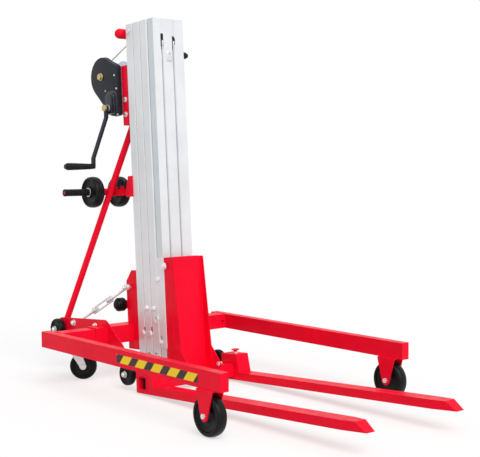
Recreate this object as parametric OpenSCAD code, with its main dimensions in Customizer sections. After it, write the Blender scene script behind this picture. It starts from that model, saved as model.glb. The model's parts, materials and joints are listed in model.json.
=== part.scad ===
// Material hoist with a three-section leaning mast, forks and a two-handed winch
// X points the way the forks reach, Y to the left side, Z up; the floor is Z = 0

/* [Base] */
// Length of each floor leg
leg_length = 1277; // [1150:1:1400]
// Leg left behind the cross sleeve's middle
leg_tail = 77; // [60:1:100]
// Height of the leg tube
leg_height = 70; // [65:1:76]
// Width of the leg tube
leg_width = 40; // [36:1:44]
// Wall of the leg tube
leg_wall = 4; // [3:0.5:5]
// Legs' underside above the floor
leg_clear = 177; // [172:1:182]
// Width over both legs
base_width = 1010; // [980:1:1060]
// Running gap between stub and sleeve
sleeve_gap = 0.5; // [0.3:0.1:0.8]
// Wall of the cross sleeve
sleeve_wall = 4.5; // [4:0.5:6]
// Length of the cross sleeve
sleeve_length = 584; // [570:1:600]
// Stub length held inside the sleeve
stub_held = 120; // [100:1:130]
// Pin hole in each stub
stub_hole_d = 12; // [8:0.5:14]
// Pin hole's distance from the leg
stub_hole_in = 14; // [10:1:20]
// Shelf plate thickness under the sleeve
shelf_t = 8; // [6:0.5:10]
// Shelf reach behind the sleeve's middle
shelf_back = 165; // [155:1:175]
// Shelf inner edge from the middle
shelf_in = 270; // [262:1:276]
// Shelf outer edge from the middle
shelf_out = 355; // [350:1:360]

/* [Front wheels] */
// Front wheel diameter
front_d = 160; // [150:1:164]
// Front wheel width
front_w = 45; // [38:1:48]
// Front wheel axle ahead of the sleeve
front_x = 1115; // [1080:1:1130]
// Wheel axle bolt diameter
axle_d = 12; // [10:0.5:14]
// Radial running gap of wheels and pins
run_gap = 0.05; // [0.02:0.01:0.09]
// Side gap of wheels and rollers
side_gap = 1; // [0.6:0.1:1.5]
// Bracket sheet thickness
bracket_t = 5; // [4:0.5:6]
// Bracket length under the leg
bracket_l = 92; // [84:1:100]
// Bracket end radius round the axle
bracket_r = 21; // [18:1:24]

/* [Casters] */
// Caster wheel diameter
caster_d = 125; // [116:1:126]
// Caster wheel width
caster_w = 34; // [30:1:36]
// Caster swivel behind the sleeve
caster_x = 115; // [110:1:120]
// Caster swivel from the middle
caster_y = 312; // [308:1:316]
// Caster trail
caster_trail = 40; // [36:1:44]
// Caster turn away from straight ahead
caster_turn = 50; // [0:1:90]
// Caster sheet thickness
caster_t = 4; // [3:0.5:5]
// Crown radius
crown_r = 33; // [30:1:36]
// Crown height
crown_h = 8; // [6:1:9]
// Swivel bearing radius
bearing_r = 27; // [24:1:29]
// Swivel bearing height
bearing_h = 7; // [6:0.5:8]
// Swivel stem diameter
stem_d = 16; // [14:1:18]
// Gap under and over the shelf
swivel_gap = 0.4; // [0.3:0.1:0.6]

/* [Side plates] */
// Side plate thickness
plate_t = 6; // [5:0.5:8]
// Inner faces of the side plates from the middle
plate_y = 226; // [222:1:228]
// Tail wheel axle behind the sleeve
tail_x = 363; // [356:1:368]
// Tail wheel axle height
tail_z = 200; // [194:1:204]
// Tilt wheel axle ahead of the sleeve
foot_x = 240; // [236:1:244]
// Tilt wheel axle height
foot_z = 69; // [66:1:74]
// Tail and tilt wheel diameter
small_d = 100; // [94:1:102]
// Tail and tilt wheel width
small_w = 30; // [26:1:34]
// Collar between plate and wheel
collar_l = 8; // [6:0.5:10]
// Plate radius round the tail axle
tail_r = 50; // [48:1:52]
// Plate radius round the tilt axle
foot_r = 28; // [26:1:32]
// Front top corner of the plate ahead of the sleeve
corner_x = 35; // [30:1:40]
// Front top corner radius
corner_r = 42; // [36:1:46]
// End of the front top corner in degrees
corner_turn = 55; // [50:1:60]
// Knee of the plate ahead of the sleeve
knee_x = 158; // [152:1:164]
// Knee height
knee_z = 187; // [182:1:192]
// Start of the plate arc round the tilt axle in degrees
foot_from = 20; // [10:1:30]
// End of the plate arc round the tilt axle in degrees
foot_to = -145; // [-150:1:-135]
// Underside corner of the plate ahead of the sleeve
under_x = 64; // [58:1:70]
// Plate left over the sleeve
plate_over = 30; // [26:1:34]
// Plate left under the sleeve
plate_under = 20; // [16:1:24]

/* [Mast] */
// Backward lean of the mast in degrees
mast_lean = 3.4; // [3.2:0.1:3.6]
// Rear face of the mast ahead of the sleeve's middle
mast_a = 78; // [76:1:80]
// Mast foot below the sleeve's middle
mast_low = 157; // [150:1:160]
// Mast top above the sleeve's middle
mast_high = 1420; // [1400:1:1440]
// Depth of one section
sec_d = 56; // [55:0.5:57]
// Width of one section
sec_w = 174; // [172:1:176]
// Wall of the sections
sec_wall = 3.5; // [3:0.25:4]
// Running gap of the sections
sec_gap = 0.5; // [0.4:0.1:0.8]
// Slanted outer edge of the sections
sec_edge = 4; // [3:0.5:4.5]
// Depth of the front guide flange
guide_d = 41; // [39:1:42]
// Neck width behind the guide flange
neck_w = 100; // [90:1:110]
// Depth of the rope grooves
groove_deep = 1.5; // [1:0.25:2]
// Width of the rope grooves
groove_w = 9; // [8:0.5:11]
// Right rope groove from the middle
groove_right = 36; // [32:1:40]
// Left rope groove from the middle
groove_left = 26; // [22:1:32]
// Lift rope diameter
rope_d = 6; // [5:0.25:6.5]
// Lower end of the pulley slot under the mast top
slot_low = 141; // [135:1:150]
// Pulley slot width
slot_w = 12; // [10:1:14]
// Pulley slot height
slot_h = 66; // [60:1:70]
// Slot pulley radius
slot_pulley_r = 18; // [16:1:19]
// Guide bolt head diameter
guide_bolt_d = 9; // [8:0.5:10]
// Guide bolt head height
guide_bolt_h = 3; // [2:0.5:4]
// Front guide bolts ahead of a section's rear face
bolt_front = 46; // [42:1:47]
// Rear guide bolts ahead of a section's rear face
bolt_rear = 22; // [18:1:26]
// Lower guide bolts over the sleeve's middle
bolt_low = 2; // [-6:1:8]
// Upper guide bolts over the sleeve's middle
bolt_high = 117; // [112:1:124]
// Slider bolts ahead of the slider's rear face
slide_bolt = 9; // [9:0.5:12]
// Lower slider bolts under the sleeve's middle
slide_low = 33; // [28:1:38]
// Upper slider bolts over the sleeve's middle
slide_high = 251; // [246:1:256]
// Lock pin height over the sleeve
lock_b = 82; // [70:1:100]
// Lock pin ahead of the front section's rear face
lock_in = 45; // [40:1:46]
// Lock pin diameter
lock_d = 8; // [7:0.5:9]
// Lock pin ring radius
ring_r = 14; // [12:1:16]
// Lock pin ring wire
ring_wire = 3.5; // [3:0.25:4]

/* [Foot bracket] */
// Sheet thickness of the mast foot bracket
foot_t = 6; // [5:0.5:7]
// Bracket flange reach behind the sleeve's middle
foot_back = 5; // [3:1:7]
// Bracket below the sleeve's middle
foot_low = 80; // [76:1:84]
// Bracket top over the sleeve's middle
foot_high = 288; // [282:1:294]
// Bracket rear edge top
foot_rear_high = 237; // [232:1:242]
// Start of the sloped bracket top
foot_slope = 40; // [36:1:44]
// Buffer roller behind the sleeve's middle
buffer_a = 37.5; // [36:0.5:39]
// Buffer roller height over the sleeve
buffer_b = 127; // [124:1:130]
// Buffer roller diameter
buffer_d = 64; // [60:1:66]
// Buffer roller width
buffer_w = 32; // [28:1:33]
// Ear radius round the roller bolt
ear_r = 20; // [18:1:22]

/* [Stay] */
// Strut tube diameter
strut_d = 30; // [28:1:32]
// Strut tube wall
strut_wall = 2.5; // [2:0.5:3]
// Strut foot behind the sleeve
strut_foot_x = 344; // [340:1:348]
// Strut foot from the middle
strut_foot_y = 211; // [208:1:212]
// Strut foot height
strut_foot_z = 256; // [252:1:260]
// Strut length past the foot point
strut_past = 22; // [18:1:26]
// Strut top behind the winch channel
strut_top_a = 14.7; // [13:0.1:16]
// Strut top from the middle
strut_top_y = 30; // [28:1:32]
// Strut top height over the sleeve
strut_top_b = 953; // [945:1:960]
// Turnbuckle pin on the bracket, ahead of the sleeve's middle
turn_top_a = 30; // [28:1:34]
// Turnbuckle pin height over the sleeve
turn_top_b = 210; // [206:1:214]
// Turnbuckle top from the middle
turn_top_y = 104; // [103:1:106]
// Turnbuckle lower pin behind the sleeve
turn_low_x = 250; // [244:1:256]
// Turnbuckle lower pin height
turn_low_z = 240; // [236:1:244]
// Turnbuckle lower end from the middle
turn_low_y = 209; // [206:1:211]
// Turnbuckle rod diameter
rod_d = 12; // [11:0.5:13]
// Rod end eye radius
eye_r = 14; // [13:0.5:15]
// Half thickness of a rod end eye as a share of its radius
eye_share = 0.6; // [0.5:0.05:0.7]
// Rod end pin diameter
turn_pin_d = 10; // [9:0.5:11]
// Turnbuckle body length
turn_body_l = 128; // [120:1:136]
// Turnbuckle end block length
turn_block_l = 22; // [18:1:26]
// Turnbuckle end block radius
turn_block_r = 12; // [11:0.5:13]
// Turnbuckle side bar diameter
turn_bar_d = 8; // [7:0.5:9]

/* [Loading wheels] */
// Loading bar behind the sleeve's middle
load_a = 165; // [160:1:170]
// Loading bar height over the sleeve
load_b = 661; // [655:1:667]
// Loading bar diameter
load_d = 26; // [24:1:28]
// Loading bar reach each side
load_reach = 303; // [303:1:310]
// Loading wheel diameter
load_wheel_d = 148; // [142:1:150]
// Loading wheel width
load_wheel_w = 50; // [46:1:50]
// Outer loading wheels from the middle
load_wheel_y = 147; // [145:1:147]
// Bar grip diameter
load_grip_d = 33; // [31:1:36]
// Bar grip length
load_grip_l = 122; // [114:1:122]
// Bar end cap length
load_cap_l = 7; // [5:1:9]
// Arm inner faces from the middle
arm_y = 49; // [47:1:50]
// Arm height
arm_h = 44; // [40:1:48]
// Arm sheet thickness
arm_t = 6; // [5:0.5:7]
// Clamp reach behind the mast
clamp_a = 42; // [36:1:46]
// Clamp reach along the mast sides
clamp_front = 10; // [8:1:14]
// Clamp height
clamp_h = 96; // [90:1:100]

/* [Top bar] */
// Top bar diameter
top_d = 46; // [42:1:48]
// Top bar half length
top_half = 97; // [92:1:102]
// Top bar ahead of the sleeve's middle
top_a = 45; // [43:1:47]
// Top bar height over the sleeve
top_b = 1385; // [1375:1:1390]
// Top bar bracket spacing from the middle
top_lug_y = 60; // [50:1:70]
// Half of the rope gap between the top handles
top_gap = 32; // [28:1:36]

/* [Winch] */
// Channel web ahead of the sleeve's middle
chan_a = 30; // [29:0.5:31]
// Channel sheet thickness
chan_t = 4; // [3:0.5:5]
// Channel flange outer half width
chan_half = 86; // [84:1:87]
// Channel lower end over the sleeve
chan_low = 962; // [955:1:968]
// Channel upper end over the sleeve
chan_high = 1237; // [1230:1:1250]
// Lower channel bolts over the sleeve
chan_bolt_low = 1011; // [1005:1:1016]
// Upper channel bolts over the sleeve
chan_bolt_high = 1080; // [1074:1:1086]
// Drum axle behind the sleeve's middle
drum_a = 112; // [110:1:114]
// Drum axle height over the sleeve
drum_b = 1204; // [1200:1:1208]
// Crank shaft lead ahead of the drum axle in degrees
crank_lead = 27.6; // [26:0.2:29]
// Gear module
gear_m = 3.25; // [3.15:0.05:3.25]
// Drum gear teeth
drum_teeth = 52; // [52]
// Idler teeth
idler_teeth = 21; // [21]
// Crank pinion teeth
pinion_teeth = 15; // [15]
// Gear face width
gear_w = 16; // [14:1:18]
// Slimming of the teeth as a share of the pitch
tooth_share = 0.4; // [0.36:0.01:0.42]
// Tooth height over the pitch line as a share of the module
addendum_share = 0.9; // [0.8:0.05:0.95]
// Tooth depth under the pitch line as a share of the module
dedendum_share = 1.2; // [1.15:0.05:1.25]
// Tooth width at the root as a share of its width on the pitch line
root_share = 1.55; // [1.5:0.05:1.6]
// Tooth width at the tip as a share of its width on the pitch line
tip_share = 0.45; // [0.4:0.05:0.5]
// Outer face of the gear cover from the middle
cover_face = 108; // [104:1:110]
// Inner face of the gear side frame plate from the middle
frame_near = 82; // [80:1:82]
// Inner face of the far frame plate from the middle
frame_far = 20; // [18:1:24]
// Frame sheet thickness
frame_t = 4; // [3.5:0.5:4]
// Far frame plate inside the cover's outline
far_inset = 14; // [10:1:16]
// Cover radius round the drum axle
cover_r = 92; // [91:1:94]
// Cover radius round the crank shaft
cover_small_r = 36; // [34:1:38]
// Cover wall
cover_wall = 2.5; // [2:0.5:3]
// Cover front edge ahead of the sleeve's middle
cover_front = 26; // [24:0.5:26]
// Cover bottom corner over the sleeve
cover_low = 1012; // [1008:1:1016]
// End of the cover's round top in degrees
cover_turn = 50; // [45:1:55]
// Brake housing thickness on the cover
brake_t = 20; // [16:1:22]
// Brake housing rear edge behind the sleeve's middle
brake_back = 58; // [54:1:62]
// Brake housing front edge ahead of the sleeve's middle
brake_front = 24; // [20:1:24]
// Brake housing lower edge over the sleeve
brake_low = 1018; // [1015:1:1022]
// Brake housing upper edge over the sleeve
brake_high = 1128; // [1122:1:1134]
// Brake housing corner radius
brake_r = 14; // [10:1:18]
// Drum flange radius
drum_r = 82; // [78:1:84]
// Drum flange thickness
drum_t = 3; // [2.5:0.5:4]
// Radius of the rope core under the top layer
core_r = 50; // [46:1:54]
// Drum hub radius
hub_r = 20; // [18:1:22]
// Drum axle diameter
drum_axle_d = 16; // [14:1:18]
// Gap between drum and frame
drum_gap = 2; // [1.5:0.5:3]
// Step of the winding from loop to loop
wind_step = 6.8; // [6.6:0.1:7.2]
// Loops in the top layer
wind_loops = 12; // [8:1:12]
// Clear space under and over the wound layer
wind_gap = 0.3; // [0.2:0.1:0.5]

/* [Cranks] */
// Crank shaft diameter
shaft_d = 18; // [16:1:20]
// Near crank root from the middle
crank_root = 134; // [131:1:138]
// Far crank root from the middle
crank_far_root = 104; // [100:1:112]
// Crank reach
crank_r = 271; // [262:1:276]
// Outward step of the crank
crank_step = 71; // [66:1:78]
// Share of the reach where the step starts
step_start_share = 0.16; // [0.12:0.01:0.2]
// Share of the reach where the step ends
step_end_share = 0.86; // [0.8:0.01:0.9]
// Crank bar thickness
crank_t = 11; // [10:0.5:13]
// Crank bar width
crank_w = 22; // [20:1:24]
// Crank turn at rest in degrees
crank_turn = -4; // [-10:1:4]
// Hand grip diameter
grip_d = 33; // [30:1:35]
// Hand grip length
grip_l = 138; // [130:1:145]
// Hand grip pin diameter
grip_pin_d = 12; // [10:1:14]

/* [Carriage] */
// Carriage slider below the sleeve's middle
slider_low = 60; // [56:1:64]
// Carriage slider above the sleeve's middle
slider_high = 345; // [335:1:350]
// Carrier sheet thickness
carrier_t = 4; // [3.5:0.5:5]
// Carrier half width
carrier_half = 86; // [84:1:87]
// Carrier depth ahead of the slider
carrier_d = 56; // [52:1:58]
// Carrier side bolt ahead of the carrier's rear face
carrier_bolt = 12; // [11:1:20]
// Carrier side bolt over the sleeve's middle
carrier_bolt_b = 311; // [304:1:318]
// Carrier top over the sleeve's middle
carrier_high = 348; // [346:1:352]
// Rib depth at the top of the carrier
rib_top = 10; // [8:1:14]
// Rib depth at the foot of the carrier
rib_low = 54; // [48:1:56]
// Gusset reach ahead of the carrier
gusset_reach = 109; // [100:1:112]
// Gusset height
gusset_h = 112; // [100:1:120]
// Gusset nose height
gusset_nose = 18; // [14:1:22]
// Crossbar size
bar_size = 60; // [58:1:61]
// Crossbar wall
bar_wall = 4; // [3:0.5:5]
// Crossbar rear face ahead of the sleeve's middle
bar_a = 342; // [340:1:344]
// Crossbar underside below the sleeve's middle
bar_b = 213; // [211:1:215]
// Crossbar half length
bar_half = 277; // [275:1:280]
// Adjustment hole diameter
bar_hole_d = 13; // [12:0.5:14]
// Adjustment hole spacing
bar_hole_step = 35; // [32:1:36]

/* [Forks] */
// Fork middle from the mast's middle
fork_y = 239; // [236:1:240]
// Fork width
fork_w = 70; // [66:1:72]
// Fork height
fork_h = 35; // [33:1:37]
// Fork wall
fork_wall = 5; // [4:0.5:6]
// Fork floor under the crossbar
fork_floor = 13.5; // [13:0.5:14]
// Fork tip ahead of the sleeve's middle
fork_tip = 1670; // [1500:1:1800]
// Length of the tip bevel
tip_bevel = 48; // [40:1:56]
// Length of the narrowing toward the tip
taper_l = 110; // [100:1:120]
// Narrowing of each side at the tip
taper_in = 14; // [10:1:15]
// Heel behind the crossbar
heel_back = 20; // [18:1:22]
// Heel ahead of the crossbar at the top
heel_front = 26; // [24:1:30]
// Heel slope run
heel_slope = 16; // [12:1:20]
// Heel top over the crossbar
heel_over = 42; // [38:1:46]
// Running gap round the crossbar
fork_gap = 0.5; // [0.4:0.1:0.8]
// Plunger pin diameter
plunger_d = 12; // [10:0.5:12]
// Plunger ahead of the crossbar's rear face
plunger_a = 40; // [34:1:44]
// Plunger knob radius
knob_r = 19; // [17:1:21]
// Plunger knob height
knob_h = 12; // [10:1:14]
// Rounding of the knob's rim as a share of its radius
knob_share = 0.14; // [0.12:0.01:0.16]
// Plunger stem showing over the heel
stem_show = 20; // [18:1:24]

/* [Proportions] */
// Rounded edge of a wheel as a share of its width
edge_share = 0.08; // [0.06:0.01:0.1]
// Rim of a wheel as a share of its radius
rim_share = 0.74; // [0.72:0.01:0.76]
// Hub of a wheel as a share of its radius
hub_share = 0.3; // [0.26:0.01:0.34]
// Hub of a wheel as a share of its bore
bore_share = 0.95; // [0.9:0.05:1]
// Half thickness of a wheel's web as a share of its width
web_share = 0.3; // [0.26:0.01:0.34]
// Bolt head height as a share of the bolt
head_share = 0.6; // [0.5:0.05:0.7]
// Hexagon across its corners as a share of the bolt
hex_share = 1.8; // [1.7:0.05:1.8]
// Nut height as a share of the bolt
nut_share = 0.5; // [0.4:0.05:0.6]
// Domed nut end as a share of the bolt
dome_share = 1.4; // [1.3:0.05:1.5]
// Nut of a thick shaft across its corners as a share of the shaft
shaft_nut_share = 1.65; // [1.6:0.05:1.7]
// Width of the caster cheeks as a share of the crown
cheek_share = 0.8; // [0.76:0.01:0.84]
// Spacer tube as a share of the bar inside it
spacer_share = 1.3; // [1.25:0.05:1.35]
// Thread held by a turnbuckle block as a share of the block
thread_share = 1.6; // [1.4:0.1:1.6]
// Rounding ball of a buffer roller as a share of the roller
buffer_share = 1.08; // [1.06:0.01:1.1]
// Head pulley radius as a share of the section depth
pulley_share = 0.3; // [0.28:0.01:0.32]

/* [Hidden] */

$fn = 64;
cut = 1;
red = "#e8182c";
silver = "#c9cdd0";
zinc = "#b9bfc6";
black = "#26272b";
sleeve_z = leg_clear + leg_height / 2;
sleeve_size = leg_height + 2 * (sleeve_gap + sleeve_wall);
leg_in = base_width / 2 - leg_width;
leg_mid = base_width / 2 - leg_width / 2;
stub_in = sleeve_length / 2 - stub_held;
shelf_z = sleeve_z - sleeve_size / 2 - shelf_t;
bolt_fit = run_gap;
bar_low = -bar_b;
bar_top = bar_low + bar_size;
fork_low = bar_low - fork_gap - fork_floor;
heel_top = bar_top + heel_over;
front_end = fork_tip * cos(mast_lean) - fork_low * sin(mast_lean);
rear_end = -tail_x - small_d / 2;
mid_x = (front_end + rear_end) / 2;
guide_half = sec_w / 2 - sec_wall - sec_gap;
neck_d = sec_wall + 2 * sec_gap;
lip_half = neck_w / 2 + sec_gap;
guide_a = sec_d + neck_d;
guide_end = guide_a + guide_d;
slider_a = mast_a + 3 * sec_d;
carrier_a = slider_a + sec_d;
panel_a = carrier_a + carrier_d;
gear_far = gear_m * (drum_teeth + 2 * idler_teeth + pinion_teeth) / 2;
idler_far = gear_m * (drum_teeth + idler_teeth) / 2;
crank_a = -drum_a + gear_far * sin(crank_lead);
crank_b = drum_b - gear_far * cos(crank_lead);
idler_a = -drum_a + idler_far * sin(crank_lead);
idler_b = drum_b - idler_far * cos(crank_lead);
gear_y = -(frame_near + frame_t + cover_wall + gear_w);
small_y = plate_y + plate_t + collar_l + side_gap + small_w / 2;
wind_rings = 24;
wind_r = (core_r + wind_gap + rope_d / 2) / cos(180 / wind_rings);
free_r = wind_r + rope_d + 2 * wind_gap;
wind_start = -frame_near + drum_gap + drum_t + rope_d;
pulley_a = mast_a + sec_d / 2;
pulley_r = sec_d * pulley_share;
pulley_b = mast_high - 2 * pulley_r;

function lean_point(a, y, b) = [a * cos(mast_lean) - b * sin(mast_lean), y,
    sleeve_z + a * sin(mast_lean) + b * cos(mast_lean)];
function arc(c, r, from, to, n) = [for (i = [0:n]) c + r * [cos(from + (to - from) * i / n),
    sin(from + (to - from) * i / n)]];
function length3(v) = sqrt(v[0] * v[0] + v[1] * v[1] + v[2] * v[2]);

module base() {
    translate([-mid_x, 0, 0])
        children();
}

module lean() {
    base()
        translate([0, 0, sleeve_z])
            rotate([0, -mast_lean, 0])
                children();
}

// Draws along Z from one point to another
module between(p, q) {
    v = q - p;
    translate(p)
        rotate([0, acos(v[2] / length3(v)), atan2(v[1], v[0])])
            children();
}

// Plate drawn in X and Z, from y to y + t
module upright(y, t) {
    translate([0, y + t, 0])
        rotate([90, 0, 0])
            linear_extrude(t)
                children();
}

// Round bar along Y from y0 to y1
module cross_bar(y0, y1, d) {
    translate([0, y0, 0])
        rotate([-90, 0, 0])
            cylinder(h = y1 - y0, d = d);
}

// Hexagon along Y from y0 to y1
module cross_hex(y0, y1, d) {
    translate([0, y0, 0])
        rotate([-90, 0, 0])
            cylinder(h = y1 - y0, d = d, $fn = 6);
}

// Wheel round Y with a rounded tread, side pockets and a true bore
module wheel(d, w, bore) {
    r = d / 2;
    shoulder = w / 4;
    rim = r * rim_share;
    hub = max(bore * bore_share, r * hub_share);
    web = w * web_share;
    rotate([90, 0, 0])
        rotate_extrude($fn = 96)
            polygon(concat(
                [[bore / 2, -w / 2], [hub, -w / 2], [hub + w * edge_share, -web], [rim - w * edge_share, -web],
                    [rim, -w / 2 + w * edge_share]],
                arc([r - shoulder, -w / 2 + shoulder], shoulder, -90, 0, 5),
                arc([r - shoulder, w / 2 - shoulder], shoulder, 0, 90, 5),
                [[rim, w / 2 - w * edge_share], [rim - w * edge_share, web], [hub + w * edge_share, web],
                    [hub, w / 2], [bore / 2, w / 2]]));
}

// Bolt along Y with a hexagon head and a domed nut
module bolt(y0, y1, d) {
    cross_bar(y0, y1, d);
    cross_hex(y0 - d * head_share, y0, d * hex_share);
    cross_hex(y1, y1 + d * nut_share, d * hex_share);
    translate([0, y1 + d * nut_share, 0])
        intersection() {
            sphere(d = d * dome_share);
            cross_bar(0, d, d * hex_share);
        }
}

module base_sleeve() {
    color(red) base() {
        translate([0, 0, sleeve_z])
            difference() {
                cube([sleeve_size, sleeve_length, sleeve_size], center = true);
                cube([sleeve_size - 2 * sleeve_wall, sleeve_length + 2 * cut, sleeve_size - 2 * sleeve_wall],
                    center = true);
            }
        for (s = [-1, 1])
            difference() {
                translate([-shelf_back, s > 0 ? shelf_in : -shelf_out, shelf_z])
                    cube([shelf_back + sleeve_size / 2, shelf_out - shelf_in, shelf_t]);
                translate([-caster_x, s * caster_y, shelf_z - cut])
                    cylinder(h = shelf_t + 2 * cut, d = stem_d + 2 * run_gap);
            }
    }
}

module side_outline() {
    top = sleeve_z + sleeve_size / 2 + plate_over;
    low = sleeve_z - sleeve_size / 2 - plate_under;
    tail = [-tail_x + tail_r * edge_share, tail_z + tail_r * edge_share];
    corner = [corner_x - corner_r / 2, top - corner_r];
    difference() {
        polygon(concat(
            arc(tail, tail_r, 270, 90 + mast_lean, 20),
            arc(corner, corner_r, 90 + mast_lean, corner_turn, 6),
            [[knee_x, knee_z]],
            arc([foot_x, foot_z], foot_r, foot_from, foot_to, 14),
            [[under_x, low]]));
        translate([0, sleeve_z])
            square(sleeve_size, center = true);
        for (p = [[-tail_x, tail_z], [foot_x, foot_z]])
            translate(p)
                circle(d = axle_d + 2 * bolt_fit);
        translate([-turn_low_x, turn_low_z])
            circle(d = turn_pin_d + 2 * bolt_fit);
    }
}

module side_plate(s) {
    color(red) base()
        upright(s > 0 ? plate_y : -plate_y - plate_t, plate_t)
            side_outline();
}

module leg(s) {
    half = front_w / 2 + side_gap;
    color(red) base() {
        difference() {
            union() {
                translate([-leg_tail, s * leg_mid - leg_width / 2, leg_clear])
                    cube([leg_length, leg_width, leg_height]);
                translate([-leg_height / 2, s > 0 ? stub_in : -leg_in - leg_wall, leg_clear])
                    cube([leg_height, leg_in + leg_wall - stub_in, leg_height]);
            }
            translate([-leg_tail - cut, s * leg_mid - leg_width / 2 + leg_wall, leg_clear + leg_wall])
                cube([leg_length + cut - leg_wall, leg_width - 2 * leg_wall, leg_height - 2 * leg_wall]);
            translate([-leg_height / 2 + leg_wall, s > 0 ? stub_in - cut : -leg_in, leg_clear + leg_wall])
                cube([leg_height - 2 * leg_wall, leg_in - stub_in + cut, leg_height - 2 * leg_wall]);
            translate([-leg_height, s * (leg_in - stub_hole_in), sleeve_z])
                rotate([0, 90, 0])
                    cylinder(h = 2 * leg_height, d = stub_hole_d);
        }
        translate([front_x, s * leg_mid, 0]) {
            translate([-bracket_l / 2, -half - bracket_t, leg_clear - bracket_t])
                cube([bracket_l, 2 * (half + bracket_t), bracket_t]);
            for (y = [-half - bracket_t, half])
                upright(y, bracket_t)
                    difference() {
                        union() {
                            polygon([[-bracket_l / 2, leg_clear], [bracket_l / 2, leg_clear],
                                [bracket_l / 2, leg_clear - 2 * bracket_t],
                                [bracket_r, front_d / 2], [-bracket_r, front_d / 2],
                                [-bracket_l / 2, leg_clear - 2 * bracket_t]]);
                            translate([0, front_d / 2])
                                circle(r = bracket_r);
                        }
                        translate([0, front_d / 2])
                            circle(d = axle_d + 2 * bolt_fit);
                    }
        }
    }
}

module front_axle(s) {
    half = front_w / 2 + side_gap + bracket_t;
    color(zinc) base()
        translate([front_x, s * leg_mid, front_d / 2])
            bolt(-half, half, axle_d);
}

module front_wheel(s) {
    color(black) base()
        translate([front_x, s * leg_mid, front_d / 2])
            wheel(front_d, front_w, axle_d + 2 * run_gap);
}

module caster_place(s) {
    base()
        translate([-caster_x, s * caster_y, 0])
            rotate([0, 0, caster_turn])
                children();
}

module caster_fork(s) {
    crown_z = shelf_z - swivel_gap - bearing_h - crown_h;
    half = caster_w / 2 + side_gap;
    cheek = crown_r * cheek_share;
    color(zinc) caster_place(s) {
        translate([0, 0, crown_z])
            cylinder(h = crown_h, r = crown_r);
        translate([0, 0, crown_z + crown_h])
            cylinder(h = bearing_h, r = bearing_r);
        translate([0, 0, crown_z])
            cylinder(h = shelf_z + shelf_t + swivel_gap + crown_h - crown_z, d = stem_d);
        translate([0, 0, shelf_z + shelf_t + swivel_gap])
            cylinder(h = crown_h, d = stem_d * shaft_nut_share, $fn = 6);
        for (y = [-half - caster_t, half])
            upright(y, caster_t) {
                polygon([[-cheek, crown_z + crown_h], [cheek, crown_z + crown_h], [cheek, crown_z],
                    [caster_trail + stem_d, caster_d / 2], [caster_trail - stem_d, caster_d / 2],
                    [-cheek, crown_z - crown_h]]);
                translate([caster_trail, caster_d / 2])
                    circle(r = stem_d);
            }
        translate([caster_trail, 0, caster_d / 2])
            bolt(-half - caster_t, half + caster_t, axle_d);
    }
}

module caster_wheel(s) {
    color(black) caster_place(s)
        translate([caster_trail, 0, caster_d / 2])
            wheel(caster_d, caster_w, axle_d + 2 * run_gap);
}

module small_wheel(s, x, z) {
    color(black) base()
        translate([x, s * small_y, z])
            wheel(small_d, small_w, axle_d + 2 * run_gap);
}

module axle_bolts() {
    color(zinc) {
        base()
            for (p = [[-tail_x, 0, tail_z], [foot_x, 0, foot_z]], s = [0, 1])
                mirror([0, s, 0])
                    translate(p) {
                        bolt(plate_y, small_y + small_w / 2 + side_gap, axle_d);
                        cross_bar(plate_y + plate_t, plate_y + plate_t + collar_l, axle_d * 2);
                    }
        lean()
            for (s = [0, 1])
                mirror([0, s, 0]) {
                    translate([-buffer_a, 0, buffer_b])
                        bolt(chan_half - foot_t, chan_half + buffer_w + 2 * side_gap, axle_d);
                    translate([turn_top_a, 0, turn_top_b])
                        bolt(chan_half - foot_t, turn_top_y + eye_r, turn_pin_d);
                }
        base()
            for (s = [0, 1])
                mirror([0, s, 0])
                    translate([-turn_low_x, 0, turn_low_z])
                        bolt(turn_low_y - eye_r, plate_y + plate_t, turn_pin_d);
    }
}

module foot_bracket() {
    half = chan_half;
    color(red) lean()
        difference() {
            union() {
                translate([mast_a - foot_t, -half, -foot_low])
                    cube([foot_t, 2 * half, foot_low + foot_high]);
                for (y = [-half, half - foot_t])
                    upright(y, foot_t)
                        difference() {
                            union() {
                                polygon([[-foot_back, -foot_low], [mast_a - foot_t, -foot_low],
                                    [mast_a - foot_t, foot_high], [foot_slope, foot_high],
                                    [-foot_back, foot_rear_high]]);
                                translate([-buffer_a, buffer_b])
                                    circle(r = ear_r);
                                translate([-buffer_a, buffer_b - ear_r])
                                    square([buffer_a, 2 * ear_r]);
                            }
                            translate([-buffer_a, buffer_b])
                                circle(d = axle_d + 2 * bolt_fit);
                            translate([turn_top_a, turn_top_b])
                                circle(d = turn_pin_d + 2 * bolt_fit);
                        }
            }
            rotate([0, mast_lean, 0])
                cube([sleeve_size, sleeve_length, sleeve_size], center = true);
        }
}

module buffer(s) {
    color(black) lean()
        translate([-buffer_a, s * (chan_half + side_gap + buffer_w / 2), buffer_b])
            difference() {
                intersection() {
                    cross_bar(-buffer_w / 2, buffer_w / 2, buffer_d);
                    sphere(d = buffer_d * buffer_share);
                }
                cross_bar(-buffer_w, buffer_w, axle_d + 2 * run_gap);
            }
}

function turn_top(s) = lean_point(turn_top_a, s * turn_top_y, turn_top_b);
function turn_low(s) = [-turn_low_x, s * turn_low_y, turn_low_z];
turn_l = length3(turn_top(1) - turn_low(1));

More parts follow.
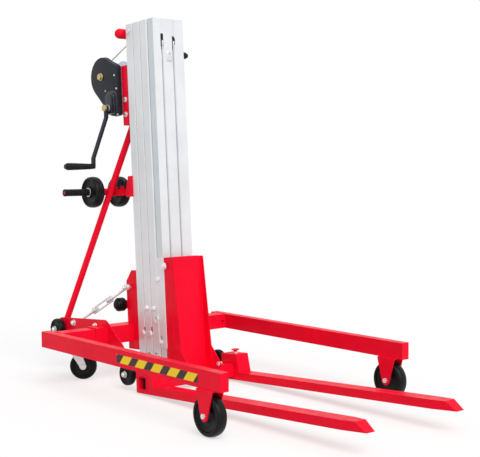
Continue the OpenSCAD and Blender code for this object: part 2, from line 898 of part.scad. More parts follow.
module turnbuckle_rods() {
    reach = (turn_l - turn_body_l) / 2 + turn_block_l * thread_share;
    color(zinc) base()
        for (s = [-1, 1]) {
            difference() {
                union() {
                    between(turn_low(s), turn_top(s))
                        cylinder(h = reach, d = rod_d);
                    translate(turn_low(s))
                        cross_bar(-eye_r * eye_share, eye_r * eye_share, 2 * eye_r);
                }
                translate(turn_low(s))
                    cross_bar(-2 * eye_r, 2 * eye_r, turn_pin_d + 2 * bolt_fit);
            }
            difference() {
                union() {
                    between(turn_top(s), turn_low(s))
                        cylinder(h = reach, d = rod_d);
                    translate(turn_top(s))
                        cross_bar(-eye_r * eye_share, eye_r * eye_share, 2 * eye_r);
                }
                translate(turn_top(s))
                    cross_bar(-2 * eye_r, 2 * eye_r, turn_pin_d + 2 * bolt_fit);
            }
        }
}

module turnbuckle(s) {
    color(zinc) base()
        between(turn_low(s), turn_top(s))
            translate([0, 0, turn_l / 2]) {
                for (z = [-turn_body_l / 2, turn_body_l / 2 - turn_block_l])
                    translate([0, 0, z])
                        difference() {
                            cylinder(h = turn_block_l, r = turn_block_r);
                            translate([0, 0, -cut])
                                cylinder(h = turn_block_l + 2 * cut, d = rod_d + 2 * run_gap);
                        }
                for (x = [-turn_block_r, turn_block_r])
                    translate([x, 0, -turn_body_l / 2 + cut])
                        cylinder(h = turn_body_l - 2 * cut, d = turn_bar_d);
            }
}

module strut(s) {
    foot = [-strut_foot_x, s * strut_foot_y, strut_foot_z];
    top = lean_point(strut_top_a, s * strut_top_y, strut_top_b);
    way = (top - foot) / length3(top - foot);
    low_end = foot - way * strut_past;
    high_end = top + way * strut_foot_y;
    color(red)
        difference() {
            base()
                difference() {
                    between(low_end, high_end)
                        cylinder(h = length3(high_end - low_end), d = strut_d);
                    between(low_end - way * cut, high_end + way * cut)
                        cylinder(h = length3(high_end - low_end) + 2 * cut, d = strut_d - 2 * strut_wall);
                }
            base()
                translate([-tail_x - tail_r, s > 0 ? plate_y : -plate_y - strut_d, 0])
                    cube([tail_x, strut_d, 2 * sleeve_z]);
            lean()
                translate([chan_a, -sec_w / 2, chan_low / 2])
                    cube([sec_w, sec_w, chan_high]);
            lean()
                translate([-sec_w, -sec_w / 2, cover_low - side_gap])
                    cube([2 * sec_w, sec_w, chan_high]);
        }
}

module section_outline(first) {
    difference() {
        translate([0, -sec_w / 2])
            polygon([[sec_edge, 0], [sec_d - sec_edge, 0], [sec_d, sec_edge], [sec_d, sec_w - sec_edge],
                [sec_d - sec_edge, sec_w], [sec_edge, sec_w], [0, sec_w - sec_edge], [0, sec_edge]]);
        translate([sec_wall, -sec_w / 2 + sec_wall])
            square([sec_d - 2 * sec_wall, sec_w - 2 * sec_wall]);
        if (!first)
            translate([-cut, -lip_half])
                square([sec_wall + 2 * cut, 2 * lip_half]);
    }
}

module guide_outline() {
    difference() {
        union() {
            translate([sec_d - sec_wall, -neck_w / 2])
                square([neck_d + 2 * sec_wall, neck_w]);
            translate([guide_a, -guide_half])
                square([guide_d, 2 * guide_half]);
        }
        translate([sec_d, -neck_w / 2 + sec_wall])
            square([neck_d + sec_wall + cut, neck_w - 2 * sec_wall]);
        translate([guide_a + sec_wall, -guide_half + sec_wall])
            square([guide_d - 2 * sec_wall, 2 * guide_half - 2 * sec_wall]);
    }
}

// Heads of the guide shoe bolts on the side faces of a section
module guide_bolts(spots) {
    for (s = [0, 1], p = spots)
        mirror([0, s, 0])
            translate([p[0], 0, p[1]])
                cross_bar(sec_w / 2 - cut, sec_w / 2 + guide_bolt_h, guide_bolt_d);
}

module section(n, spots) {
    translate([mast_a + (n - 1) * sec_d, 0, 0]) {
        translate([0, 0, -mast_low])
            linear_extrude(mast_low + mast_high) {
                section_outline(n == 1);
                guide_outline();
            }
        guide_bolts(spots);
    }
}

module mast_section_1() {
    color(silver) lean()
        difference() {
            section(1, [[bolt_front, bolt_low]]);
            translate([mast_a - cut, -sec_d / 2, pulley_b - 2 * pulley_r])
                cube([sec_wall + 2 * cut, sec_d, mast_high]);
            translate([pulley_a, 0, pulley_b])
                cross_bar(-sec_w, sec_w, axle_d + 2 * bolt_fit);
        }
}

module mast_section_2() {
    color(silver) lean()
        section(2, [[bolt_front, bolt_low], [bolt_rear, bolt_high]]);
}

slot_spots = [[-groove_right, mast_high - slot_low], [groove_left, mast_high - slot_low]];

module mast_section_3() {
    face = mast_a + 2 * sec_d + guide_end;
    color(silver) lean()
        difference() {
            section(3, [[bolt_rear, bolt_high]]);
            for (y = [-groove_right, groove_left])
                translate([face - groove_deep, y - groove_w / 2, -mast_low - cut])
                    cube([groove_deep + cut, groove_w, mast_low + mast_high + 2 * cut]);
            for (p = slot_spots)
                translate([face - guide_d / 2, p[0] - slot_w / 2, p[1]])
                    cube([guide_d, slot_w, slot_h]);
            translate([mast_a + 2 * sec_d + lock_in, -sec_w, lock_b])
                cross_bar(0, sec_w, lock_d + 2 * run_gap);
        }
}

// Two rope strands in the front grooves with the pulleys they turn on
module carriage_ropes() {
    face = mast_a + 2 * sec_d + guide_end;
    rope_a = face - groove_deep + rope_d / 2 + wind_gap;
    color(zinc) lean()
        for (p = slot_spots) {
            translate([rope_a, p[0], -mast_low])
                cylinder(h = mast_low + p[1] + slot_h / 2, d = rope_d);
            translate([rope_a - slot_pulley_r + rope_d / 2, p[0], p[1] + slot_h / 2])
                cross_bar(-slot_w / 3, slot_w / 3, 2 * slot_pulley_r);
        }
}

module lock_pin() {
    start = -sec_w / 2 - ring_r / 2;
    color(zinc) lean()
        translate([mast_a + 2 * sec_d + lock_in, 0, lock_b]) {
            cross_bar(start, -sec_w / 2 + sec_wall, lock_d);
            cross_bar(start, -sec_w / 2 - swivel_gap, lock_d * shaft_nut_share);
            translate([0, start + ring_wire / 2, -ring_r])
                rotate([90, 0, 0])
                    rotate_extrude()
                        translate([ring_r, 0])
                            circle(d = ring_wire, $fn = 24);
        }
}

module carriage_slider() {
    color(silver) lean()
        translate([slider_a, 0, 0]) {
            translate([0, 0, -slider_low])
                linear_extrude(slider_low + slider_high)
                    section_outline(false);
            guide_bolts([[slide_bolt, -slide_low], [slide_bolt, slide_high]]);
        }
}

module carriage_panel() {
    color(red) lean() {
        translate([carrier_a, 0, bar_top])
            linear_extrude(carrier_high - bar_top)
                difference() {
                    translate([0, -carrier_half])
                        square([carrier_d, 2 * carrier_half]);
                    translate([carrier_t, -carrier_half + carrier_t])
                        square([carrier_d - 2 * carrier_t, 2 * carrier_half - 2 * carrier_t]);
                }
        for (s = [0, 1])
            mirror([0, s, 0]) {
                upright(carrier_half - carrier_t - sec_gap, carrier_t)
                    polygon([[panel_a - carrier_t, bar_top], [panel_a - carrier_t, carrier_high],
                        [panel_a + rib_top, carrier_high], [panel_a + rib_low, bar_top]]);
                upright(carrier_half - sec_gap, carrier_t)
                    polygon([[panel_a - carrier_t, bar_top], [panel_a - carrier_t, bar_top + gusset_h],
                        [panel_a + rib_low / 2, bar_top + gusset_h],
                        [panel_a + gusset_reach, bar_top + gusset_nose], [panel_a + gusset_reach, bar_top]]);
                translate([carrier_a + carrier_bolt, 0, carrier_bolt_b])
                    cross_hex(carrier_half - carrier_t, carrier_half + guide_bolt_h, 2 * guide_bolt_d);
                translate([panel_a + gusset_reach - gusset_nose, 0, bar_top + gusset_nose])
                    cross_hex(carrier_half, carrier_half + carrier_t + guide_bolt_h, 2 * guide_bolt_d);
            }
    }
}

module fork_crossbar() {
    inner = bar_size - 2 * bar_wall;
    color(red) lean()
        difference() {
            translate([bar_a, -bar_half, bar_low])
                cube([bar_size, 2 * bar_half, bar_size]);
            translate([bar_a + bar_wall, -bar_half - cut, bar_low + bar_wall])
                cube([inner, 2 * bar_half + 2 * cut, inner]);
            for (s = [-1, 1], i = [1:4])
                translate([bar_a + plunger_a, s * (fork_y - (2 * i - 1) * bar_hole_step / 2),
                    bar_top - 2 * bar_wall])
                    cylinder(h = 2 * bar_wall + cut, d = bar_hole_d);
        }
}

module fork(s) {
    heel = bar_a + bar_size;
    inner_w = fork_w - 2 * fork_wall;
    color(red) lean()
        translate([0, s * fork_y, 0])
            difference() {
                upright(-fork_w / 2, fork_w)
                    polygon([[bar_a - heel_back, fork_low + fork_wall],
                        [bar_a - heel_back + fork_wall, fork_low],
                        [fork_tip, fork_low], [fork_tip - tip_bevel, fork_low + fork_h],
                        [heel + heel_front + heel_slope, fork_low + fork_h],
                        [heel + heel_front, heel_top], [bar_a - heel_back, heel_top]]);
                upright(-inner_w / 2, inner_w)
                    polygon([[bar_a - heel_back + fork_wall, bar_low - fork_gap], [heel, bar_low - fork_gap],
                        [heel + heel_front, fork_low + fork_wall],
                        [fork_tip - 2 * tip_bevel, fork_low + fork_wall],
                        [fork_tip - 2 * tip_bevel, fork_low + fork_h - fork_wall],
                        [heel + heel_front + heel_slope - fork_wall, fork_low + fork_h - fork_wall],
                        [heel + heel_front - fork_wall, heel_top - fork_wall],
                        [bar_a - heel_back + fork_wall, heel_top - fork_wall]]);
                upright(-fork_w, 2 * fork_w)
                    translate([bar_a - fork_gap, bar_low - fork_gap])
                        square(bar_size + 2 * fork_gap);
                translate([bar_a + plunger_a, 0, bar_top])
                    cylinder(h = heel_over + cut, d = plunger_d + 2 * run_gap);
                for (t = [0, 1])
                    mirror([0, t, 0])
                        translate([fork_tip, fork_w / 2, fork_low - cut])
                            linear_extrude(fork_h + 2 * cut)
                                polygon([[-taper_l, 0], [0, -taper_in], [taper_in, -taper_in],
                                    [taper_in, taper_in], [-taper_l, taper_in]]);
            }
}

module plunger(s) {
    rim = knob_r * knob_share;
    color(red) lean()
        translate([bar_a + plunger_a, s * fork_y, 0]) {
            translate([0, 0, bar_top + swivel_gap])
                cylinder(h = heel_over + stem_show, d = plunger_d);
            translate([0, 0, heel_top + stem_show - knob_h])
                rotate_extrude()
                    polygon(concat([[0, 0], [plunger_d / 2, 0], [knob_r - 2 * rim, knob_h / 2]],
                        arc([knob_r - rim, knob_h - rim], rim, -60, 90, 5), [[0, knob_h]]));
        }
}

module loading_bracket() {
    half = sec_w / 2 + arm_t;
    color(red) lean() {
        translate([mast_a - arm_t, -half, load_b - clamp_h / 3])
            cube([arm_t, 2 * half, clamp_h]);
        for (s = [0, 1])
            mirror([0, s, 0]) {
                upright(sec_w / 2, arm_t)
                    polygon([[mast_a - clamp_a, load_b - clamp_h / 3],
                        [mast_a + clamp_front, load_b - clamp_h / 3],
                        [mast_a + clamp_front, load_b + clamp_h * 2 / 3],
                        [mast_a - clamp_a / 2, load_b + clamp_h * 2 / 3], [mast_a - clamp_a, load_b]]);
                upright(arm_y, arm_t)
                    difference() {
                        union() {
                            translate([-load_a, load_b])
                                circle(d = arm_h);
                            polygon([[-load_a, load_b - arm_h / 2], [mast_a - arm_t, load_b - arm_h / 2],
                                [mast_a - arm_t, load_b + arm_h], [mast_a - clamp_a, load_b + arm_h / 2],
                                [-load_a, load_b + arm_h / 2]]);
                        }
                        translate([-load_a, load_b])
                            circle(d = load_d + 2 * bolt_fit);
                    }
            }
    }
}

module loading_bar() {
    outer = load_wheel_y + load_wheel_w / 2 + side_gap;
    color(red) lean()
        translate([-load_a, 0, load_b]) {
            cross_bar(-load_reach + load_cap_l, load_reach - load_cap_l, load_d);
            for (s = [0, 1])
                mirror([0, s, 0]) {
                    cross_bar(arm_y + arm_t, load_wheel_y - load_wheel_w / 2 - side_gap, load_d * spacer_share);
                    cross_bar(load_wheel_w / 2 + side_gap, arm_y, load_d * spacer_share);
                    cross_bar(outer, load_reach - load_cap_l - load_grip_l, load_d * spacer_share);
                    cross_bar(load_reach - load_cap_l, load_reach, load_grip_d);
                }
        }
}

module bar_grips() {
    color(black) lean()
        translate([-load_a, 0, load_b])
            for (s = [0, 1])
                mirror([0, s, 0])
                    difference() {
                        cross_bar(load_reach - load_cap_l - load_grip_l, load_reach - load_cap_l, load_grip_d);
                        cross_bar(0, load_reach, load_d);
                    }
}

module loading_wheel(y) {
    color(black) lean()
        translate([-load_a, y, load_b])
            wheel(load_wheel_d, load_wheel_w, load_d + 2 * run_gap);
}

// Two handles behind the mast head with room for the rope between them
module top_bar() {
    color(red) lean()
        for (s = [0, 1])
            mirror([0, s, 0]) {
                translate([top_a, 0, top_b]) {
                    cross_bar(top_gap, top_half, top_d);
                    translate([0, top_half, 0])
                        sphere(d = top_d);
                }
                translate([top_a, top_lug_y - arm_t / 2, top_b - top_d / 3])
                    cube([mast_a - top_a, arm_t, top_d * 2 / 3]);
            }
}

module winch_channel() {
    color(red) lean() {
        translate([chan_a, -chan_half, chan_low])
            cube([chan_t, 2 * chan_half, chan_high - chan_low]);
        for (y = [-chan_half, chan_half - foot_t])
            translate([chan_a, y, chan_low])
                cube([mast_a - chan_a, foot_t, chan_high - chan_low]);
    }
}

// Teardrop round the drum axle and the crank shaft, squared off toward the mast
module teardrop(grow) {
    big = [-drum_a, drum_b];
    small = [crank_a, crank_b];
    side = acos((cover_r - cover_small_r) / gear_far);
    left = -90 + crank_lead - side;
    translate(big)
        circle(r = cover_r + grow);
    translate(small)
        circle(r = cover_small_r + grow);
    polygon([big, big + (cover_r + grow) * [cos(left), sin(left)],
        small + (cover_small_r + grow) * [cos(left), sin(left)], small + (cover_small_r + grow) * [0, -1],
        [cover_front + grow, cover_low - grow], [cover_front + grow, drum_b + cover_small_r + grow],
        big + (cover_r + grow) * [cos(cover_turn), sin(cover_turn)]]);
}

module winch_frame() {
    color(zinc) lean() {
        difference() {
            union() {
                upright(-frame_near - frame_t, frame_t)
                    teardrop(0);
                upright(frame_far, frame_t) {
                    teardrop(-far_inset);
                    translate([crank_a, crank_b])
                        square([cover_front - crank_a, drum_b - crank_b]);
                }
                translate([cover_front - frame_t, -frame_near - frame_t, cover_low])
                    cube([chan_a - cover_front + frame_t, frame_near + frame_far + 2 * frame_t,
                        drum_b + cover_small_r - cover_low]);
            }
            translate([-drum_a, 0, drum_b])
                cross_bar(-frame_near - frame_t - cut, -frame_near + cut, 2 * hub_r + 2 * drum_gap);
            translate([-drum_a, 0, drum_b])
                cross_bar(0, cover_face, drum_axle_d + 2 * bolt_fit);
            translate([crank_a, 0, crank_b])
                cross_bar(-cover_face, cover_face, shaft_d + 2 * run_gap);
        }
        translate([idler_a, 0, idler_b])
            cross_bar(gear_y - side_gap / 2, -frame_near - frame_t, axle_d);
    }
}

module gear_cover() {
    depth = cover_face - frame_near - frame_t;
    color(black) lean()
        difference() {
            upright(-cover_face, depth)
                teardrop(0);
            upright(-cover_face + cover_wall, depth)
                teardrop(-cover_wall);
            translate([crank_a, 0, crank_b])
                cross_bar(-2 * cover_face, 0, shaft_d + 2 * run_gap);
            translate([-drum_a, 0, drum_b])
                cross_bar(-2 * cover_face, 0, drum_axle_d + 2 * bolt_fit);
        }
}

module brake_housing() {
    color(black) lean()
        difference() {
            upright(-cover_face - brake_t, brake_t) {
                translate([-brake_back, brake_low])
                    square([brake_back + brake_front, brake_high - brake_low - brake_r]);
                translate([-brake_back + brake_r, brake_low])
                    square([brake_back + brake_front - 2 * brake_r, brake_high - brake_low]);
                for (a = [-brake_back + brake_r, brake_front - brake_r])
                    translate([a, brake_high - brake_r])
                        circle(r = brake_r);
            }
            translate([crank_a, 0, crank_b])
                cross_bar(-2 * cover_face, 0, shaft_d + 2 * run_gap);
        }
}

module winch_bolts() {
    color("#c9a94a") lean() {
        translate([-drum_a, 0, drum_b]) {
            cross_bar(-cover_face, frame_far + frame_t, drum_axle_d);
            cross_hex(-cover_face - drum_axle_d / 2, -cover_face, drum_axle_d * shaft_nut_share);
            cross_hex(frame_far + frame_t, frame_far + frame_t + drum_axle_d / 2,
                drum_axle_d * shaft_nut_share);
        }
        for (b = [chan_bolt_low, chan_bolt_high], s = [0, 1])
            mirror([0, s, 0])
                translate([(chan_a + mast_a) / 2, 0, b])
                    cross_hex(chan_half, chan_half + 2 * guide_bolt_h, 2 * guide_bolt_d);
    }
}

// Spur gear outline with a tooth centred on the angle turn
module gear_outline(teeth, turn) {
    r = gear_m * teeth / 2;
    pitch = 360 / teeth;
    tip = r + gear_m * addendum_share;
    root = r - gear_m * dedendum_share;
    wide = pitch * tooth_share / 2;
    polygon([for (i = [0:teeth - 1]) each [
        for (p = [[root, -wide * root_share], [r, -wide], [tip, -wide * tip_share],
            [tip, wide * tip_share], [r, wide], [root, wide * root_share]])
            p[0] * [cos(turn + i * pitch + p[1]), sin(turn + i * pitch + p[1])]]]);
}

module drum() {
    y0 = -frame_near + drum_gap;
    y1 = frame_far - drum_gap;
    color(zinc) lean()
        translate([-drum_a, 0, drum_b])
            difference() {
                union() {
                    cross_bar(y0, y0 + drum_t, 2 * drum_r);
                    cross_bar(y1 - drum_t, y1, 2 * drum_r);
                    cross_bar(y0, y1, 2 * core_r);
                    cross_bar(gear_y, y0, 2 * hub_r);
                    upright(gear_y, gear_w)
                        gear_outline(drum_teeth, -90 + crank_lead);
                }
                cross_bar(-cover_face, cover_face, drum_axle_d + 2 * run_gap);
            }
}

wind_sides = 6;
wind_count = wind_loops * wind_rings;
function wind_angle(i) = 90 + 360 * i / wind_rings;
function wind_at(i) = [wind_r * cos(wind_angle(i)), wind_start + wind_step * i / wind_rings,
    wind_r * sin(wind_angle(i))];
wind_path = concat([wind_at(0) + rope_d * [sin(wind_angle(0)), 0, -cos(wind_angle(0))]],
    [for (i = [0:wind_count]) wind_at(i)],
    [wind_at(wind_count) + rope_d * [-sin(wind_angle(wind_count)), 0, cos(wind_angle(wind_count))]]);
wind_turns = concat([wind_angle(0)], [for (i = [0:wind_count]) wind_angle(i)], [wind_angle(wind_count)]);
wind_points = [for (i = [0:len(wind_path) - 1]) for (k = [0:wind_sides - 1])
    wind_path[i] + rope_d / 2 * (cos(360 * k / wind_sides) * [cos(wind_turns[i]), 0, sin(wind_turns[i])]
        + sin(360 * k / wind_sides) * [0, 1, 0])];
wind_faces = concat(
    [[for (k = [0:wind_sides - 1]) k]],
    [for (i = [0:len(wind_path) - 2]) for (k = [0:wind_sides - 1]) each [
        [i * wind_sides + k, (i + 1) * wind_sides + k, (i + 1) * wind_sides + (k + 1) % wind_sides],
        [i * wind_sides + k, (i + 1) * wind_sides + (k + 1) % wind_sides,
            i * wind_sides + (k + 1) % wind_sides]]],
    [[for (k = [wind_sides - 1:-1:0]) (len(wind_path) - 1) * wind_sides + k]]);
wind_clear = min([for (i = [0:wind_count - wind_rings])
    for (k = [0:wind_sides - 1]) for (m = [0:wind_sides - 1])
    length3(wind_points[(i + 1) * wind_sides + k] - wind_points[(i + 1 + wind_rings) * wind_sides + m])]);
echo(winding_self_gap = wind_clear);

module drum_rope() {
    color(zinc) lean()
        translate([-drum_a, 0, drum_b])
            polyhedron(points = wind_points, faces = wind_faces, convexity = 10);
}

module idler_gear() {
    color(zinc) lean()
        translate([idler_a, 0, idler_b])
            upright(gear_y, gear_w)
                difference() {
                    gear_outline(idler_teeth, 90 + crank_lead + 180 / idler_teeth);
                    circle(d = axle_d + 2 * run_gap);
                }
}

module crank_shaft() {
    color(zinc) lean()
        translate([crank_a, 0, crank_b]) {
            cross_bar(-crank_root - crank_t - shaft_d / 2, crank_far_root + crank_t + shaft_d / 2, shaft_d);
            upright(gear_y, gear_w)
                gear_outline(pinion_teeth, 90 + crank_lead + 180 / pinion_teeth);
            cross_hex(-crank_root - crank_t - shaft_d / 2, -crank_root - crank_t, shaft_d * shaft_nut_share);
            cross_hex(crank_far_root + crank_t, crank_far_root + crank_t + shaft_d / 2,
                shaft_d * shaft_nut_share);
            cross_bar(-crank_root, -cover_face - brake_t - side_gap, shaft_d * hex_share);
            cross_bar(frame_far + frame_t + side_gap, crank_far_root, shaft_d * hex_share);
        }
}

// Crank hanging down on the right side, root at the given distance
module crank(root) {
    out = root + crank_step;
    difference() {
        union() {
            translate([-crank_w / 2, 0, 0])
                rotate([90, 0, 90])
                    linear_extrude(crank_w)
                        polygon([[-root, 0], [-root, -crank_r * step_start_share],
                            [-out, -crank_r * step_end_share], [-out, -crank_r], [-out - crank_t, -crank_r],
                            [-out - crank_t, -crank_r * step_end_share],
                            [-root - crank_t, -crank_r * step_start_share], [-root - crank_t, 0]]);
            cross_bar(-root - crank_t, -root, crank_w * spacer_share);
            translate([0, 0, -crank_r])
                cross_bar(-out - crank_t, -out, crank_w);
        }
        cross_bar(-root - crank_w, 0, shaft_d);
    }
    translate([0, 0, -crank_r]) {
        cross_bar(-out - crank_t - grip_l - 2 * side_gap, -out, grip_pin_d);
        cross_bar(-out - crank_t - grip_l - 2 * side_gap - crank_t / 2, -out - crank_t - grip_l - 2 * side_gap,
            grip_pin_d * hex_share);
    }
}

module crank_place(far) {
    lean()
        translate([crank_a, 0, crank_b])
            rotate([0, -crank_turn, 0])
                rotate([far ? 180 : 0, 0, 0])
                    children();
}

module cranks() {
    color(black) {
        crank_place(false)
            crank(crank_root);
        crank_place(true)
            crank(crank_far_root);
    }
}

module hand_grip(far) {
    start = (far ? crank_far_root : crank_root) + crank_step + crank_t + side_gap;
    color(black) crank_place(far)
        translate([0, 0, -crank_r])
            difference() {
                cross_bar(-start - grip_l, -start, grip_d);
                cross_bar(-start - 2 * grip_l, 0, grip_pin_d + 2 * run_gap);
            }
}

// Rope from the drum's top to the mast head, over the head pulley and down
module lift_rope() {
    d = [pulley_a + drum_a, pulley_b - drum_b];
    far = sqrt(d[0] * d[0] + d[1] * d[1]);
    turn_r = pulley_r + rope_d / 2 + wind_gap;
    face = atan2(d[1], d[0]) + acos((free_r - turn_r) / far);
    start = [-drum_a + free_r * cos(face), wind_start + wind_step, drum_b + free_r * sin(face)];
    stop = [pulley_a + turn_r * cos(face), 0, pulley_b + turn_r * sin(face)];
    color(zinc) lean() {
        between(start, stop)
            cylinder(h = length3(stop - start), d = rope_d);
        translate([pulley_a, 0, pulley_b])
            rotate([90, 0, 0])
                rotate_extrude(angle = face)
                    translate([turn_r, 0])
                        circle(d = rope_d, $fn = 32);
        translate([pulley_a + turn_r, 0, pulley_b - mast_high / 4])
            cylinder(h = mast_high / 4, d = rope_d);
        for (p = [stop, [pulley_a + turn_r, 0, pulley_b]])
            translate(p)
                sphere(d = rope_d + wind_gap);
    }
}

module head_pulley() {
    w = 3 * rope_d;
    color(zinc) lean()
        translate([pulley_a, 0, pulley_b]) {
            cross_bar(-w / 2, w / 2, 2 * pulley_r);
            for (y = [-w / 2 - rope_d / 2, w / 2])
                translate([0, y, 0])
                    cross_bar(0, rope_d / 2, 2 * pulley_r + rope_d);
            bolt(-sec_w / 2, sec_w / 2, axle_d);
        }
}

base_sleeve();
side_plate(-1);  // side_plate_right
side_plate(1);  // side_plate_left
leg(-1);  // leg_right
leg(1);  // leg_left
front_axle(-1);  // front_axle_right
front_axle(1);  // front_axle_left
front_wheel(-1);  // front_wheel_right
front_wheel(1);  // front_wheel_left
caster_fork(-1);  // caster_fork_right
caster_fork(1);  // caster_fork_left
caster_wheel(-1);  // caster_wheel_right
caster_wheel(1);  // caster_wheel_left
axle_bolts();
small_wheel(-1, -tail_x, tail_z);  // tail_wheel_right
small_wheel(1, -tail_x, tail_z);  // tail_wheel_left
small_wheel(-1, foot_x, foot_z);  // tilt_wheel_right
small_wheel(1, foot_x, foot_z);  // tilt_wheel_left
foot_bracket();
buffer(-1);  // buffer_right
buffer(1);  // buffer_left
turnbuckle_rods();
turnbuckle(-1);  // turnbuckle_right
turnbuckle(1);  // turnbuckle_left
strut(-1);  // strut_right
strut(1);  // strut_left
mast_section_1();
mast_section_2();
mast_section_3();
carriage_ropes();
lock_pin();
carriage_slider();
carriage_panel();
fork_crossbar();
fork(-1);  // fork_right
fork(1);  // fork_left
plunger(-1);  // plunger_right
plunger(1);  // plunger_left
loading_bracket();
loading_bar();
bar_grips();
loading_wheel(-load_wheel_y);  // loading_wheel_right
loading_wheel(0);  // loading_wheel_middle
loading_wheel(load_wheel_y);  // loading_wheel_left
top_bar();
winch_channel();
winch_frame();
gear_cover();
brake_housing();
winch_bolts();
drum();
drum_rope();
idler_gear();
crank_shaft();
cranks();
hand_grip(false);  // grip_right
hand_grip(true);  // grip_left
lift_rope();
head_pulley();
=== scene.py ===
import json
import math
import bpy
import numpy as np
from mathutils import Matrix, Vector

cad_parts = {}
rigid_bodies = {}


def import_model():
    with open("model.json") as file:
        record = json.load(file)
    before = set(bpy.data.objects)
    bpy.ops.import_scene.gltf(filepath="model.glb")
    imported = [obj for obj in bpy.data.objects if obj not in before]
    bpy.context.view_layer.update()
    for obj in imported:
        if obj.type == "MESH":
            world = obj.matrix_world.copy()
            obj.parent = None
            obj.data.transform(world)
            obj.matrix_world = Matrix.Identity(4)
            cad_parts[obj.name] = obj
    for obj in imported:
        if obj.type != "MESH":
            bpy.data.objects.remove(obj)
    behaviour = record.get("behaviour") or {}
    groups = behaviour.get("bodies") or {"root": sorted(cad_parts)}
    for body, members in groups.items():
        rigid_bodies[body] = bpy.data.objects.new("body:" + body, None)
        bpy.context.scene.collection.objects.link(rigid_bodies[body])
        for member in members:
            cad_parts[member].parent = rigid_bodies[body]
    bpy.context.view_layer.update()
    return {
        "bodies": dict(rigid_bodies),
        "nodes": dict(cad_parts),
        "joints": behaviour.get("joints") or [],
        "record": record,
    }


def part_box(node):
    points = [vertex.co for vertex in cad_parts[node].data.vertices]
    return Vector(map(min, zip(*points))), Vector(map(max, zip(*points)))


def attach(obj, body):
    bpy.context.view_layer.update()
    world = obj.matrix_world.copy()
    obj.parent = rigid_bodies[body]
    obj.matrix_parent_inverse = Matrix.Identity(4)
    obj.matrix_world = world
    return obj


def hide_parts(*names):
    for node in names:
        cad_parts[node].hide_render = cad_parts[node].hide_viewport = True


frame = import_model()
nodes = frame["nodes"]
scene = bpy.context.scene
scene.view_settings.view_transform = "Standard"
print("hoist: frame loaded,", len(nodes), "nodes")

# places are in millimetres, from the cross sleeve's axis and the floor; sizes of turned pieces are in metres
# the mast leans back about the sleeve's axis: a runs forward, b up along it
lean = {"deg": 3.4, "sleeveZ": 0.212, "midX": 0.6337615}
leanCos = math.cos(math.radians(lean["deg"]))
leanSin = math.sin(math.radians(lean["deg"]))
forwardDir = np.array([leanCos, 0.0, leanSin])
upDir = np.array([-leanSin, 0.0, leanCos])
sideDir = np.array([0.0, 1.0, 0.0])
sides = (("right", -1), ("left", 1))
signs = (-1, 1)
pivots = {j["child"]: (np.array(j.get("pos_m", (0, 0, 0)), float), np.array(j["axis"], float))
          for j in frame["joints"]}


def onMast(a, y, b):
    # millimetres along the lean, across and up it -> metres in the shared frame
    a, y, b = (np.asarray(v, float) / 1000 for v in np.broadcast_arrays(a, y, b))
    return np.stack([a * leanCos - b * leanSin - lean["midX"], y,
                     lean["sleeveZ"] + a * leanSin + b * leanCos], -1)


def onBase(x, y, z):
    # millimetres from the sleeve's axis and the floor -> metres in the shared frame
    x, y, z = (np.asarray(v, float) / 1000 for v in np.broadcast_arrays(x, y, z))
    return np.stack([x - lean["midX"], y, z], -1)


# outlines: arrays of flat points
def turnOf(count):
    # even angles, once round
    return np.linspace(0, 2 * math.pi, count, endpoint=False)


def polar(radius, t):
    # (u, v) = radius (cos t, sin t)
    return np.stack([radius * np.cos(t), radius * np.sin(t)], -1)


def arcLine(centre, radius, fromDeg, toDeg, count=24):
    # points on an arc, from one angle to the other
    return np.asarray(centre) + polar(radius, np.radians(np.linspace(fromDeg, toDeg, count)))


def roundedBox(halfU, halfV, r, perCorner=10):
    # outline of a rectangle with round corners, anticlockwise
    corners = ((1, 1, 0), (-1, 1, 90), (-1, -1, 180), (1, -1, 270))
    return np.concatenate([arcLine(((halfU - r) * su, (halfV - r) * sv), r, f, f + 90, perCorner)
                           for su, sv, f in corners])


def runAlong(points):
    # distance walked from the first point to each point
    return np.concatenate([[0], np.cumsum(np.linalg.norm(np.diff(points, axis=0), axis=1))])


def atDistance(points, run, at):
    # the points of a polyline at the given distances
    return np.stack([np.interp(at, run, points[:, k]) for k in range(points.shape[1])], -1)


def evenPath(points, step):
    # the same path with points about one step apart, and their distances
    points = np.asarray(points, float)
    run = runAlong(points)
    at = np.linspace(0, run[-1], max(3, int(run[-1] / step) + 1))
    return atDistance(points, run, at), at


def evenLoop(points, count, ease):
    # closed outline with evenly spaced points, corners eased by a moving average
    points = np.concatenate([points, points[:1]])
    run = runAlong(points)
    loop = atDistance(points, run, np.linspace(0, run[-1], count, endpoint=False))
    for _ in range(ease):
        loop = (np.roll(loop, 1, 0) + 2 * loop + np.roll(loop, -1, 0)) / 4
    return loop


def shrink(loop, inset):
    # every point moved inwards along its own normal; the outline runs anticlockwise
    run = np.roll(loop, -1, 0) - np.roll(loop, 1, 0)
    run /= np.linalg.norm(run, axis=1)[:, None]
    return loop - inset * np.stack([run[:, 1], -run[:, 0]], -1)


def bothHalves(half, middle=()):
    # a profile's lower half, what lies between, and the half turned over
    half = np.asarray(half, float)
    return np.concatenate([half, np.reshape(middle, (-1, 2)), (half * (1, -1))[::-1]])


# surfaces: a part is (points, quads, caps)
def gridFaces(rows, cols, wrapRows):
    # quads of a rows x cols grid, joined across the columns, and across the rows where wrapped
    i = np.arange(rows if wrapRows else rows - 1)[:, None]
    j = np.arange(cols)[None, :]
    i2, j2 = (i + 1) % rows, (j + 1) % cols
    corners = np.broadcast_arrays(i * cols + j, i * cols + j2, i2 * cols + j2, i2 * cols + j)
    return np.stack(corners, -1).reshape(-1, 4)


